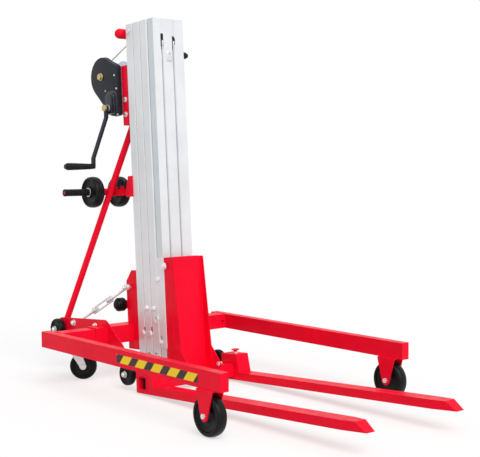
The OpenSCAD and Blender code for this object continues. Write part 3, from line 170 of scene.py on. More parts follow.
def loft(rings, wrap=False):
    # closed loops of points, one ring after the next, with flat ends unless wrapped
    rings = np.asarray(rings, float)
    rows, cols = rings.shape[:2]
    caps = [] if wrap else [list(range(cols))[::-1], list(range((rows - 1) * cols, rows * cols))]
    return rings.reshape(-1, 3), gridFaces(rows, cols, wrap), caps


def crossFrame(axis):
    # two directions square to the axis, and the axis at length one
    axis = np.asarray(axis, float) / np.linalg.norm(axis)
    other = np.array([0.0, 0.0, 1.0]) if abs(axis[2]) < 0.9 else np.array([1.0, 0.0, 0.0])
    u = np.cross(other, axis)
    u /= np.linalg.norm(u)
    return u, np.cross(axis, u), axis


def spun(profile, centre, axis, count):
    # point = centre + radius (cos t u + sin t v) + along w, for each (radius, along) of the profile
    u, v, w = crossFrame(axis)
    profile = np.asarray(profile, float)
    t = turnOf(count)
    ring = np.cos(t)[:, None] * u + np.sin(t)[:, None] * v
    return np.asarray(centre) + profile[:, None, :1] * ring[None] + profile[:, None, 1:] * w


def revolve(profile, centre, axis, count=48):
    # a closed profile spun into a ring
    return loft(spun(profile, centre, axis, count), wrap=True)


def turned(profile, centre, axis, count=48):
    # a profile spun from flat end to flat end
    return loft(spun(profile, centre, axis, count))


def carry(path, profile, closed=False, start=None):
    # profile (u, v) carried along path; its frame turns as little as it can from point to point
    path = np.asarray(path, float)
    step = np.gradient(path, axis=0)
    step /= np.linalg.norm(step, axis=1)[:, None]
    u = np.zeros_like(path)
    held = crossFrame(step[0])[0] if start is None else np.asarray(start, float)
    for k in range(len(path)):
        held = held - step[k] * (held @ step[k])
        held = held / np.linalg.norm(held)
        u[k] = held
    v = np.cross(step, u)
    profile = np.broadcast_to(profile, (len(path),) + np.shape(profile)[-2:])
    return loft(path[:, None] + profile[:, :, :1] * u[:, None] + profile[:, :, 1:] * v[:, None], closed)


def sidePatch(loop, a, b, levels):
    # an outline on the mast's side, carried across from y to y
    return loft(np.stack([onMast(a + loop[:, 0], y, b + loop[:, 1]) for y in levels]))


def sideStrip(fromA, toA, y, sink, out, lowB, highB, sign):
    # a flat bar up the mast's side, from just under its face to a little way out
    edge = np.array([(fromA, -sink), (fromA, out), (toA, out), (toA, -sink)])
    return loft(np.stack([onMast(edge[:, 0], sign * (y + edge[:, 1]), b) for b in (lowB, highB)]))


def drawnShell(loop, levels):
    # levels are (inset, y): the outline shrunk by inset at that y
    rings = ((shrink(loop, inset), y) for inset, y in levels)
    return loft(np.stack([onMast(ring[:, 0], y, ring[:, 1]) for ring, y in rings]))


def signedVolume(part):
    # six times the volume inside the part's faces; negative when they point inwards
    pts, quads, caps = part
    tris = [quads[:, [0, 1, 2]], quads[:, [0, 2, 3]]]
    tris += [np.array([[c[0], c[k], c[k + 1]] for k in range(1, len(c) - 1)]) for c in caps]
    a, b, c = (pts[np.concatenate(tris)][:, k] for k in range(3))
    return np.einsum("ij,ij->i", a, np.cross(b, c)).sum()


def addPiece(name, parts, finish, body, slotName, stands=(), sharpDeg=35):
    # parts joined in one mesh, each facing outwards, on the body that carries them
    points, faces, base = [], [], 0
    for pts, quads, caps in parts:
        way = -1 if signedVolume((pts - pts.mean(0), quads, caps)) < 0 else 1
        faces += (quads[:, ::way] + base).tolist() + [[base + k for k in cap[::way]] for cap in caps]
        points.append(pts)
        base += len(pts)
    mesh = bpy.data.meshes.new(name)
    mesh.from_pydata(np.concatenate(points).tolist(), [], faces)
    mesh.polygons.foreach_set("use_smooth", np.ones(len(mesh.polygons), bool))
    mesh.set_sharp_from_angle(angle=math.radians(sharpDeg))
    mesh.materials.append(finish)
    piece = bpy.data.objects.new(name, mesh)
    scene.collection.objects.link(piece)
    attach(piece, body)
    if stands:
        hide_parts(*stands)
    return piece


# finishes: noise on Object coordinates drives tone, gloss and grain
noiseRange = {"rough": 0.55, "low": 0.25, "high": 0.75}
def newFinish(name, **sockets):
    # a Principled material with the named sockets set
    mat = bpy.data.materials.new(name)
    mat.use_nodes = True
    tree = mat.node_tree
    shader = tree.nodes["Principled BSDF"]
    for key, value in sockets.items():
        shader.inputs[key.replace("_", " ")].default_value = value
    return mat, tree, shader


def coordNoise(tree, perMetre, stretch=(1, 1, 1), detail=3.0):
    coord = tree.nodes.new("ShaderNodeTexCoord")
    mapping = tree.nodes.new("ShaderNodeMapping")
    mapping.inputs["Scale"].default_value = stretch
    noise = tree.nodes.new("ShaderNodeTexNoise")
    noise.inputs["Scale"].default_value = perMetre
    noise.inputs["Detail"].default_value = detail
    noise.inputs["Roughness"].default_value = noiseRange["rough"]
    tree.links.new(coord.outputs["Object"], mapping.inputs["Vector"])
    tree.links.new(mapping.outputs["Vector"], noise.inputs["Vector"])
    return noise.outputs["Fac"]


def toneRamp(tree, source, colour, tones):
    # the colour times each tone's factor, at that tone's place in the noise
    node = tree.nodes.new("ShaderNodeValToRGB")
    while len(node.color_ramp.elements) < len(tones):
        node.color_ramp.elements.new(0.5)
    for element, (at, factor) in zip(node.color_ramp.elements, tones):
        element.position = at
        element.color = tuple(min(1.0, c * factor) for c in colour) + (1,)
    tree.links.new(source, node.inputs["Fac"])
    return node.outputs["Color"]


def spread(tree, source, low, high):
    # the middle of the noise's range, stretched from low to high
    node = tree.nodes.new("ShaderNodeMapRange")
    node.inputs["From Min"].default_value = noiseRange["low"]
    node.inputs["From Max"].default_value = noiseRange["high"]
    node.inputs["To Min"].default_value = low
    node.inputs["To Max"].default_value = high
    tree.links.new(source, node.inputs["Value"])
    return node.outputs["Result"]


def bumpFrom(tree, source, depth, strength, under=None):
    node = tree.nodes.new("ShaderNodeBump")
    node.inputs["Distance"].default_value = depth
    node.inputs["Strength"].default_value = strength
    tree.links.new(source, node.inputs["Height"])
    if under is not None:
        tree.links.new(under, node.inputs["Normal"])
    return node.outputs["Normal"]


def softEdges(tree, radius):
    # normals rounded over at the edges
    node = tree.nodes.new("ShaderNodeBevel")
    node.samples = 4
    node.inputs["Radius"].default_value = radius
    return node.outputs["Normal"]


def dress(tree, shader, colour, rough, normal):
    for socket, source in (("Base Color", colour), ("Roughness", rough), ("Normal", normal)):
        tree.links.new(source, shader.inputs[socket])


paint = {"red": (0.93, 0.003, 0.028), "specular": 0.10, "rough": (0.30, 0.46), "glossPerMetre": 26.0,
         "blotchPerMetre": 9.0, "tones": ((0.3, 0.93), (0.55, 1.0), (0.75, 1.06)),
         "peelPerMetre": 420.0, "peelDepth": 0.0004, "peelStrength": 0.25, "edge": 0.002}
def powderPaint(name, colour):
    # powder coat: faint mottling, orange peel, patchy gloss
    mat, tree, shader = newFinish(name, Specular_IOR_Level=paint["specular"])
    blotch = coordNoise(tree, paint["blotchPerMetre"], detail=4.0)
    gloss = coordNoise(tree, paint["glossPerMetre"])
    peel = coordNoise(tree, paint["peelPerMetre"], detail=2.0)
    dress(tree, shader, toneRamp(tree, blotch, colour, paint["tones"]), spread(tree, gloss, *paint["rough"]),
          bumpFrom(tree, peel, paint["peelDepth"], paint["peelStrength"], softEdges(tree, paint["edge"])))
    return mat


metal = {"cloudPerMetre": 7.0, "tones": ((0.3, 0.94), (0.7, 1.03)), "lineStrength": 0.2, "edge": 0.001}
alongMast = (220, 220, 3)  # lines per metre across and along the drawn sections
def drawnMetal(name, colour, metallic, rough, lines=(60, 60, 60), depth=0.0002):
    # drawn or plated metal: fine lines along the draw, broad cloudy tone
    mat, tree, shader = newFinish(name, Metallic=metallic)
    drawn = coordNoise(tree, 1.0, lines, detail=2.0)
    cloud = coordNoise(tree, metal["cloudPerMetre"])
    dress(tree, shader, toneRamp(tree, cloud, colour, metal["tones"]), spread(tree, drawn, *rough),
          bumpFrom(tree, drawn, depth, metal["lineStrength"], softEdges(tree, metal["edge"])))
    return mat


black = {"scuffPerMetre": 30.0, "tones": ((0.35, 1.0), (0.8, 1.5)), "grainStrength": 0.35, "edge": 0.001}
def mouldedBlack(name, colour, rough, grain, depth, specular):
    # moulded rubber or coated black steel: fine grain, dull scuffs
    mat, tree, shader = newFinish(name, Specular_IOR_Level=specular)
    scuff = coordNoise(tree, black["scuffPerMetre"], detail=5.0)
    fine = coordNoise(tree, grain, detail=2.0)
    dress(tree, shader, toneRamp(tree, scuff, colour, black["tones"]), spread(tree, scuff, *rough),
          bumpFrom(tree, fine, depth, black["grainStrength"], softEdges(tree, black["edge"])))
    return mat


redPaint = powderPaint("redPaint", paint["red"])
mastMetal = drawnMetal("mastMetal", (0.79, 0.81, 0.83), 0.40, (0.36, 0.52), alongMast, 0.0001)
# a darker, bluish copy of the mast metal: painted shade for the sides of the front guide
mastPaintedShade = drawnMetal("mastPaintedShade", (0.65, 0.71, 0.74), 0.40, (0.34, 0.50), alongMast, 0.0001)
zincPlate = drawnMetal("zincPlate", (0.74, 0.75, 0.75), 0.60, (0.24, 0.42))
brightZinc = drawnMetal("brightZinc", (0.90, 0.90, 0.88), 0.45, (0.24, 0.40))
yellowZinc = drawnMetal("yellowZinc", (0.58, 0.48, 0.21), 0.85, (0.28, 0.45))
drumSteel = drawnMetal("drumSteel", (0.56, 0.66, 0.76), 0.75, (0.24, 0.40))
ropeSteel = drawnMetal("ropeSteel", (0.62, 0.63, 0.64), 0.85, (0.34, 0.5), lines=(90, 90, 90))
tyreRubber = mouldedBlack("tyreRubber", (0.005, 0.005, 0.005), (0.26, 0.42), 700.0, 0.0002, 0.16)
wheelCore = mouldedBlack("wheelCore", (0.006, 0.006, 0.006), (0.28, 0.42), 500.0, 0.0002, 0.13)
# black steel, also laid on as painted shade in joints, slots, gaps, sockets and tube ends
blackSteelAndShade = mouldedBlack("blackSteelAndShade", (0.012, 0.014, 0.022), (0.32, 0.46), 420.0, 0.0003, 0.17)
brakeBlack = mouldedBlack("brakeBlack", (0.012, 0.014, 0.022), (0.16, 0.26), 420.0, 0.0001, 0.42)
gripRubber = mouldedBlack("gripRubber", (0.008, 0.008, 0.010), (0.36, 0.5), 800.0, 0.0002, 0.17)
print("hoist: finishes made")

finishOf = {"red": redPaint, "mast": mastMetal, "zinc": zincPlate, "rope": ropeSteel,
            "yellow_zinc": yellowZinc, "tyre": tyreRubber, "black_steel": blackSteelAndShade, "grip": gripRubber}
ownFinish = {"drum": drumSteel}
slotOfNode = {n: m["slot"] for m in frame["record"]["materials"] for n in m.get("nodes") or []}
for nodeName, cadNode in nodes.items():
    for held in cadNode.material_slots:
        plain = held.material.name.split(".")[0] if held.material else ""
        held.material = ownFinish.get(nodeName) or finishOf.get(slotOfNode.get(nodeName, plain), redPaint)

# wheels: tyre and core turned from rounded profiles, in place of the plain solids
coreShare = 0.74  # where the tyre meets the core, as a share of the radius
tyreShape = {"shoulder": 0.24, "shoulderDeg": (-88, -2), "crown": 0.03, "lip": 0.10, "seat": (0.002, 0.30),
             "step": (0.001, 1.6), "lipRing": ((0.6, 0.3), (1.4, 0.1)),
             "markRing": ((0.86, 0.32), (0.875, 0.02)), "grooveDepth": 0.0022, "grooveWide": 0.035,
             "rows": 41, "around": 96}
def tyreProfile(r, w, grooves):
    # sidewall, shoulder and crowned tread; each groove is a round-bottomed dip in the tread
    s = tyreShape
    core, shoulder, lip = r * coreShare, w * s["shoulder"], w * s["lip"]
    flat, edge = w / 2 - shoulder, r - w * s["crown"]
    along = np.linspace(-flat, flat, s["rows"])[1:-1]
    tread = r - w * s["crown"] * (along / flat) ** 2
    for g in grooves:
        tread = tread - s["grooveDepth"] * np.exp(-((along - g * w) / (s["grooveWide"] * w)) ** 2)
    wall = [(core - s["seat"][0], -w * s["seat"][1]), (core + s["step"][0], -w / 2 + lip * s["step"][1])]
    wall += [(core + lip * up, -w / 2 + lip * back) for up, back in s["lipRing"]]
    wall += [(r * share, -w / 2 + lip * back) for share, back in s["markRing"]]
    bend = arcLine((edge - shoulder, -flat), shoulder, *s["shoulderDeg"], 8)
    return bothHalves(np.concatenate([wall, bend]), np.stack([tread, along], -1))


coreShape = {"hub": 0.30, "hubBores": 0.95, "web": 0.30, "boreGap": 0.0002, "hubDish": 0.0006,
             "hubRound": (0.002, 0.0015), "fillet": ((0.002, 0.002), (0.006, 0.0)),
             "rise": ((0.80, 0.0), (0.86, 0.0015), (0.90, 0.004)), "rim": 0.965, "rimFace": 0.42,
             "rimBack": 0.28, "seatGap": 0.0005, "around": 72}
def coreProfile(r, w, bore):
    # hub boss, dished web and rim ring of the wheel's centre
    s = coreShape
    core, hub, web = r * coreShare, max(bore * s["hubBores"], r * s["hub"]), w * s["web"]
    return bothHalves([(bore / 2 + s["boreGap"], -w / 2 + s["hubDish"]),
                       (hub - s["hubRound"][0], -w / 2), (hub, -w / 2 + s["hubRound"][1]),
                       *((hub + out, -web - up) for out, up in s["fillet"]),
                       *((core * share, -web - up) for share, up in s["rise"]),
                       (core * s["rim"], -w * s["rimFace"]), (core - s["seatGap"], -w * s["rimFace"]),
                       (core - s["seatGap"], -w * s["rimBack"])])


wheelSizes = {"front": {"d": 0.160, "w": 0.045, "bore": 0.0121, "grooves": ()},
              "caster": {"d": 0.125, "w": 0.034, "bore": 0.0121, "grooves": ()},
              "tail": {"d": 0.100, "w": 0.030, "bore": 0.0121, "grooves": (-0.15, 0.15)},
              "tilt": {"d": 0.100, "w": 0.030, "bore": 0.0121, "grooves": (-0.15, 0.15)},
              "loading": {"d": 0.148, "w": 0.050, "bore": 0.0261, "grooves": (-0.12, 0.12)}}
wheelBodies = [n for n in frame["bodies"] if "wheel" in n]
for body in wheelBodies:
    size = wheelSizes[body.split("_")[0]]
    centre, axle = pivots[body]
    tyre = tyreProfile(size["d"] / 2, size["w"], size["grooves"])
    tyre = revolve(tyre, centre, axle, tyreShape["around"])
    core = coreProfile(size["d"] / 2, size["w"], size["bore"])
    core = revolve(core, centre, axle, coreShape["around"])
    addPiece(body + "_tyre", [tyre], tyreRubber, body, "tyre", [body])
    addPiece(body + "_core", [core], wheelCore, body, "tyre")
print("hoist:", len(wheelBodies), "wheels turned")

# hazard tape on the outer side of both legs
tape = {"x": (533.0, 1071.0), "z": (194.0, 227.0), "outerY": 505.0, "glue": 0.05, "thick": 0.4, "edge": 0.2,
        "stripes": 5.05, "slant": 0.26, "start": 0.22, "yellowFrom": 0.44, "rough": 0.42, "specular": 0.12,
        "yellow": (1.0, 0.68, 0.03), "yellowTones": ((0.3, 0.96), (0.7, 1.0)),
        "dark": (0.050, 0.038, 0.036), "darkTones": ((0.3, 0.9), (0.8, 1.5)),
        "dustPerMetre": 60.0, "grainPerMetre": 300.0, "grainDepth": 0.0002, "grainStrength": 0.2}
def mathNode(tree, kind, a, b=None):
    # one Math node; each input is a socket to link or a plain number
    node = tree.nodes.new("ShaderNodeMath")
    node.operation = kind
    for k, value in enumerate((a, b)):
        if hasattr(value, "links"):
            tree.links.new(value, node.inputs[k])
        elif value is not None:
            node.inputs[k].default_value = value
    return node.outputs[0]


def tapeFinish():
    # the fraction of (stripes x along - slant x across + start) picks yellow or dark
    mat, tree, shader = newFinish("hazardTape", Roughness=tape["rough"], Specular_IOR_Level=tape["specular"])
    uv = tree.nodes.new("ShaderNodeUVMap")
    split = tree.nodes.new("ShaderNodeSeparateXYZ")
    tree.links.new(uv.outputs["UV"], split.inputs["Vector"])
    across = mathNode(tree, "MULTIPLY", split.outputs["Y"], tape["slant"])
    across = mathNode(tree, "SUBTRACT", across, tape["start"])
    along = mathNode(tree, "MULTIPLY", split.outputs["X"], tape["stripes"])
    phase = mathNode(tree, "FRACT", mathNode(tree, "SUBTRACT", along, across))
    dust = coordNoise(tree, tape["dustPerMetre"], detail=5.0)
    mix = tree.nodes.new("ShaderNodeMix")
    mix.data_type = "RGBA"
    tree.links.new(mathNode(tree, "GREATER_THAN", phase, tape["yellowFrom"]), mix.inputs["Factor"])
    tree.links.new(toneRamp(tree, dust, tape["dark"], tape["darkTones"]), mix.inputs["A"])
    tree.links.new(toneRamp(tree, dust, tape["yellow"], tape["yellowTones"]), mix.inputs["B"])
    tree.links.new(mix.outputs["Result"], shader.inputs["Base Color"])
    grain = coordNoise(tree, tape["grainPerMetre"])
    tree.links.new(bumpFrom(tree, grain, tape["grainDepth"], tape["grainStrength"]), shader.inputs["Normal"])
    return mat


def tapeMap(mesh):
    # u runs along the tape, v up it
    corner = np.zeros(len(mesh.loops), np.int32)
    mesh.loops.foreach_get("vertex_index", corner)
    co = np.zeros(len(mesh.vertices) * 3, np.float32)
    mesh.vertices.foreach_get("co", co)
    co = co.reshape(-1, 3)[corner]
    (fromX, toX), (lowZ, highZ) = np.array(tape["x"]) / 1000, np.array(tape["z"]) / 1000
    u, v = (co[:, 0] + lean["midX"] - fromX) / (toX - fromX), (co[:, 2] - lowZ) / (highZ - lowZ)
    mesh.uv_layers.new(name="UVMap").data.foreach_set("uv", np.stack([u, v], -1).astype(np.float32).ravel())


hazardTape = tapeFinish()
tapeX = np.linspace(*tape["x"], 60)
inY, outY = tape["outerY"] + tape["glue"], tape["outerY"] + tape["thick"]
lowZ, highZ = tape["z"]
section = ((inY, lowZ), (outY, lowZ + tape["edge"]), (outY, highZ - tape["edge"]), (inY, highZ))
for side, sign in sides:
    strip = loft(np.stack([onBase(tapeX, sign * y, z) for y, z in section], 1))
    tapeMap(addPiece("tape_" + side, [strip], hazardTape, "leg_" + side, "red", sharpDeg=60).data)
print("hoist: tape laid")

# wire ropes: six strands laid round the path
rope = {"d": 6.0, "lay": 38.0, "strandDip": 0.17, "step": 3.0, "around": 18, "sharpDeg": 80}
def strandedRope(points):
    # radius = r (1 - dip (1 - |cos 3(t - turn)|)), turned once in every lay length
    path, at = evenPath(points, rope["step"] / 1000)
    t = turnOf(rope["around"])
    turn = 2 * math.pi * at / (rope["lay"] / 1000)
    dip = rope["strandDip"] * (1 - np.abs(np.cos(3 * (t[None] - turn[:, None]))))
    return carry(path, polar(rope["d"] / 2000 * (1 - dip), t))


winding = {"a": -112.0, "b": 1204.0, "woundR": 53.76, "freeR": 60.36, "startY": -71.0, "pitch": 6.8,
           "loops": 12, "perLoop": 72, "pulley": (106.0, 1386.4), "pulleyR": 20.1, "overPoints": 24,
           "dropB": 355.0}
w = winding
wound = np.radians(np.linspace(0, 360 * w["loops"], w["perLoop"] * w["loops"]))
coil = onMast(w["a"] + w["woundR"] * np.cos(wound + math.pi / 2),
              w["startY"] + w["pitch"] * wound / (2 * math.pi),
              w["b"] + w["woundR"] * np.sin(wound + math.pi / 2))
addPiece("drum_winding", [strandedRope(coil)], ropeSteel, "drum", "rope", ["drum_rope"], rope["sharpDeg"])
# the lead leaves drum and pulley on their common tangent, at the angle tangentAt
(pulleyA, pulleyB), pulleyR = w["pulley"], w["pulleyR"]
awayA, awayB = pulleyA - w["a"], pulleyB - w["b"]
tangentAt = math.atan2(awayB, awayA) + math.acos((w["freeR"] - pulleyR) / math.hypot(awayA, awayB))
over = np.linspace(tangentAt, 0, w["overPoints"])
leadA = [w["a"] + w["freeR"] * math.cos(tangentAt), *(pulleyA + pulleyR * np.cos(over)), pulleyA + pulleyR]
leadB = [w["b"] + w["freeR"] * math.sin(tangentAt), *(pulleyB + pulleyR * np.sin(over)), pulleyB - w["dropB"]]
leadY = [w["startY"] + w["pitch"], *np.zeros(len(over) + 1)]
lead = strandedRope(onMast(leadA, leadY, leadB))
addPiece("lead_rope", [lead], ropeSteel, "base", "rope", ["lift_rope"], rope["sharpDeg"])

sectionRope = {"a": 293.3, "y": (-36.0, 26.0), "b": (-157.0, 1312.0)}
sheave = {"r": 18.0, "forward": 3.0, "boreR": 0.004, "half": 0.0038, "face": 0.003, "flange": 0.0032,
          "hub": 0.55, "web": (0.6, 0.9), "groove": 0.82, "around": 40}
ropes, sheaves = [], []
r, half, face = sheave["r"] / 1000, sheave["half"], sheave["face"]
sheaveProfile = bothHalves([(sheave["boreR"], -half), (r * sheave["hub"], -half),
                            *((r * share, -face) for share in sheave["web"]),
                            (r, -half), (r, -sheave["flange"])], (r * sheave["groove"], 0.0))
for y in sectionRope["y"]:
    ropes.append(strandedRope(onMast(sectionRope["a"], y, sectionRope["b"])))
    mid = onMast(sectionRope["a"] - sheave["r"] + sheave["forward"], y, sectionRope["b"][1])
    sheaves.append(revolve(sheaveProfile, mid, sideDir, sheave["around"]))
addPiece("section_ropes", ropes, ropeSteel, "mast_3", "rope", ["carriage_ropes"], rope["sharpDeg"])
addPiece("section_sheaves", sheaves, zincPlate, "mast_3", "zinc")
print("hoist: ropes laid")

# fasteners: chamfered hexagon, washer and domed nut
headShape = {"top": 0.485, "chamfer": 0.6, "dome": 0.40, "domeDeg": (0, 20, 40, 60, 80), "around": 48}
def hexHead(centre, axis, flats, high, turnDeg=0.0, dome=0.0):
    # radius = half the flats / cos(angle from the nearest flat); the top corners are turned off
    s = headShape
    t = turnOf(s["around"])
    flat = np.ones(len(t))
    fold = np.mod(t + math.radians(30 - turnDeg), math.radians(60)) - math.radians(30)
    r = flats / 2 / np.cos(fold)
    u, v, w = crossFrame(axis)
    ring = np.cos(t)[:, None] * u + np.sin(t)[:, None] * v
    rows = [(r, 0 * flat), (r, high - (r - flats / 2) * s["chamfer"]), (flats * s["top"] * flat, high * flat)]
    if dome:
        rows += [(flats * s["dome"] * math.cos(k) * flat, (high + dome * math.sin(k)) * flat)
                 for k in np.radians(s["domeDeg"])]
    return loft(np.stack([centre + out[:, None] * ring + up[:, None] * w for out, up in rows]))


def washer(centre, axis, outer, inner, thick):
    # a flat ring with its outer edges broken by a quarter of its thickness
    e = thick * 0.25
    edge = [(outer - e, 0), (outer, e), (outer, thick - e), (outer - e, thick)]
    return revolve([(inner, 0), *edge, (inner, thick)], centre, axis)


boltShape = {"washerR": 1.15, "washerHole": 0.4, "washerThick": 0.18, "flats": 1.7, "head": 0.62, "nut": 0.7,
             "dome": 0.55}
def boltOn(centre, axis, size, dome=False, turnDeg=10.0):
    # washer against the face, head on the washer; all are shares of the thread's size
    s = boltShape
    thick, high = size * s["washerThick"], size * s["nut" if dome else "head"]
    domeHigh = size * s["dome"] if dome else 0.0
    return [washer(centre, axis, size * s["washerR"], size * s["washerHole"], thick),
            hexHead(centre + axis * thick, axis, size * s["flats"], high, turnDeg, domeHigh)]


nut = {"tail": (-363.0, 200.0), "tilt": (240.0, 69.0), "axleFace": 271.1, "turnLow": (-250.0, 240.0),
       "plate": (-60.0, 246.0), "plateFace": 232.0, "size": 0.0128, "turnTop": (30.0, 210.0),
       "turnTopFace": 117.6, "topSize": 0.0108, "topDeg": 4, "lowDeg": 14, "plateDeg": 31}
baseNuts = []
for sign in signs:
    out = sideDir * sign
    for x, z in (nut["tail"], nut["tilt"]):
        baseNuts += boltOn(onBase(x, sign * nut["axleFace"], z), out, nut["size"], True)
    a, b = nut["turnTop"]
    baseNuts += boltOn(onMast(a, sign * nut["turnTopFace"], b), out, nut["topSize"], True, nut["topDeg"])
    onPlate = ((nut["turnLow"], True, nut["lowDeg"]), (nut["plate"], False, nut["plateDeg"]))
    for (x, z), dome, turnDeg in onPlate:
        baseNuts += boltOn(onBase(x, sign * nut["plateFace"], z), out, nut["size"], dome, turnDeg)
addPiece("base_nuts", baseNuts, zincPlate, "base", "zinc")

# moulded caps over the buffer bolts: a quarter ellipse turned about the bolt
cap = {"a": -37.5, "b": 127.0, "faceY": 119.6, "r": 0.026, "high": 0.0155, "sink": 0.0004, "tip": 1e-5,
       "steps": 12}
sweep = np.linspace(0, math.pi / 2, cap["steps"])
dome = np.stack([np.maximum(cap["r"] * np.cos(sweep), cap["tip"]), cap["high"] * np.sin(sweep)], -1)
dome = np.concatenate([[(cap["r"], -cap["sink"])], dome])
bufferCaps = [turned(dome, onMast(cap["a"], sign * cap["faceY"], cap["b"]), sideDir * sign) for sign in signs]
addPiece("buffer_caps", bufferCaps, tyreRubber, "base", "tyre", sharpDeg=60)
print("hoist: fasteners set")

# crank grips: radius grows from root to end, with fine rings and a dished end
grip = {"root": 0.74, "growTo": 0.8, "growPower": 0.8, "rings": 9, "ringDip": 0.0009, "ringWide": 0.012,
        "ringsFrom": 0.12, "ringsTo": 0.86, "round": 0.06, "roundDrop": 0.28, "dish": 0.006,
        "dishSteps": ((0.60, 0.0), (0.54, 0.3), (0.52, 1.0)), "boreR": 0.0061, "rows": 60}
g = grip
for body in ("grip_right", "grip_left"):
    low, high = (np.array(v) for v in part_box(body))
    mid, half = (low + high) / 2, (high - low) / 2
    out = sideDir * (-1.0 if mid[1] < 0 else 1.0)
    r, length = half[0], half[1] * 2
    s = np.linspace(0, 1, g["rows"])
    shape = r * (g["root"] + (1 - g["root"]) * np.minimum(1.0, s / g["growTo"]) ** g["growPower"])
    rings = np.exp(-(np.mod(s * g["rings"], 1.0) - 0.5) ** 2 / g["ringWide"])
    shape = shape - g["ringDip"] * rings * (s < g["ringsTo"]) * (s > g["ringsFrom"])
    end = np.clip((1 - s) / g["round"], 0, 1)
    shape = shape - r * g["roundDrop"] * (1 - np.sqrt(1 - (1 - end) ** 2))
    dished = [(r * share, length - g["dish"] * deep) for share, deep in g["dishSteps"]]
    profile = np.concatenate([[(g["boreR"], 0.0)], np.stack([shape, s * length], -1), dished,
                              [(g["boreR"], length - g["dish"])]])
    handle = revolve(profile, mid - out * half[1], out)
    addPiece(body + "_handle", [handle], gripRubber, body, "grip", [body])

# rubber ends over the loading bar's caps, with the painted bar showing in the middle, and rings at the hubs
barEnd = {"a": -165.0, "b": 661.0, "y": 295.6, "deep": 0.008, "outer": 0.0169, "inner": 0.0085,
          "edge": 0.0022, "edgeShare": 0.3, "skin": 0.0003, "proud": 0.0004}
hubRing = {"gap": 0.2, "outer": 0.0212, "inner": 0.0172, "thick": 0.0022}
outer, inner, deep, e, skin = (barEnd[k] for k in ("outer", "inner", "deep", "edge", "skin"))
turnIn = e * barEnd["edgeShare"]
rimProfile = [(inner, deep - skin), (inner, deep + barEnd["proud"]), (outer - e, deep + barEnd["proud"]),
              (outer - turnIn, deep - turnIn), (outer, deep - e), (outer, 0.0), (outer - skin, 0.0),
              (outer - skin, deep - skin)]
rims, hubRings = [], []
for side, sign in sides:
    out = sideDir * sign
    rims.append(revolve(rimProfile, onMast(barEnd["a"], sign * barEnd["y"], barEnd["b"]), out))
    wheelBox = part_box("loading_wheel_" + side)
    faceY = abs(wheelBox[0][1] if sign < 0 else wheelBox[1][1]) * 1000 + hubRing["gap"]
    hub = onMast(barEnd["a"], sign * faceY, barEnd["b"])
    hubRings.append(washer(hub, out, hubRing["outer"], hubRing["inner"], hubRing["thick"]))
addPiece("bar_ends", rims, gripRubber, "base", "grip", sharpDeg=50)
addPiece("hub_rings", hubRings, zincPlate, "base", "zinc")
print("hoist: grips turned")

# winch cover: a deep drawn shell with a rolled front edge and a lip at the back
cover = {"drum": (-112.0, 1204.0), "crank": (-29.94, 1047.03), "drumR": 92.0, "crankR": 36.0, "frontA": 26.0,
         "b": (1012.0, 1240.0), "fromDeg": 50, "joinDeg": 226.03, "toDeg": 270, "backY": 86.0, "faceY": 108.0,
         "roll": 5.0, "lip": 2.0, "lipY": (0.2, 2.2, 3.4), "points": 220, "ease": 10}
c = cover
outline = np.concatenate([[(c["frontA"], b) for b in c["b"]],
                          arcLine(c["drum"], c["drumR"], c["fromDeg"], c["joinDeg"], 48),
                          arcLine(c["crank"], c["crankR"], c["joinDeg"], c["toDeg"], 12)])
outline = evenLoop(outline, c["points"], c["ease"])
bend = np.radians(np.linspace(0, 90, 7))


def rolledEdge(roll, faceY):
    # (inset, y) round a quarter circle, up to the face
    return [(roll * (1 - math.cos(k)), -faceY + roll - roll * math.sin(k)) for k in bend]


levels = [(inset, -c["backY"] - y) for inset, y in zip((-c["lip"], -c["lip"], 0.0), c["lipY"])]
shell = drawnShell(outline, levels + rolledEdge(c["roll"], c["faceY"]))
addPiece("winch_cover", [shell], blackSteelAndShade, "base", "black_steel", ["gear_cover"], sharpDeg=50)

brake = {"steps": ({"a": (-58.0, 24.0), "b": (1018.5, 1128.0), "corner": 26.0, "y": (108.2, 115.0)},
                   {"a": (-57.0, 11.0), "b": (1019.5, 1118.0), "corner": 22.0, "y": (114.8, 121.5)},
                   {"a": (-56.0, -2.0), "b": (1020.5, 1108.0), "corner": 18.0, "y": (121.3, 128.0)}),
         "roll": 2.4, "cut": 4.0, "smallCorner": 8.0, "points": 140, "ease": 3}
shells = []
for step in brake["steps"]:
    (left, right), (low, high), (backY, faceY) = step["a"], step["b"], step["y"]
    cut, corner, small = brake["cut"], step["corner"], brake["smallCorner"]
    box = np.concatenate([[(left, low + cut), (left + cut, low), (right - cut, low), (right, low + cut)],
                          arcLine((right - corner, high - corner), corner, 0, 90, 10),
                          arcLine((left + small, high - small), small, 90, 180, 5)])
    box = evenLoop(box, brake["points"], brake["ease"])
    shells.append(drawnShell(box, [(0.0, -backY)] + rolledEdge(brake["roll"], faceY)))
addPiece("brake_box", shells, brakeBlack, "base", "black_steel", ["brake_housing"], sharpDeg=50)

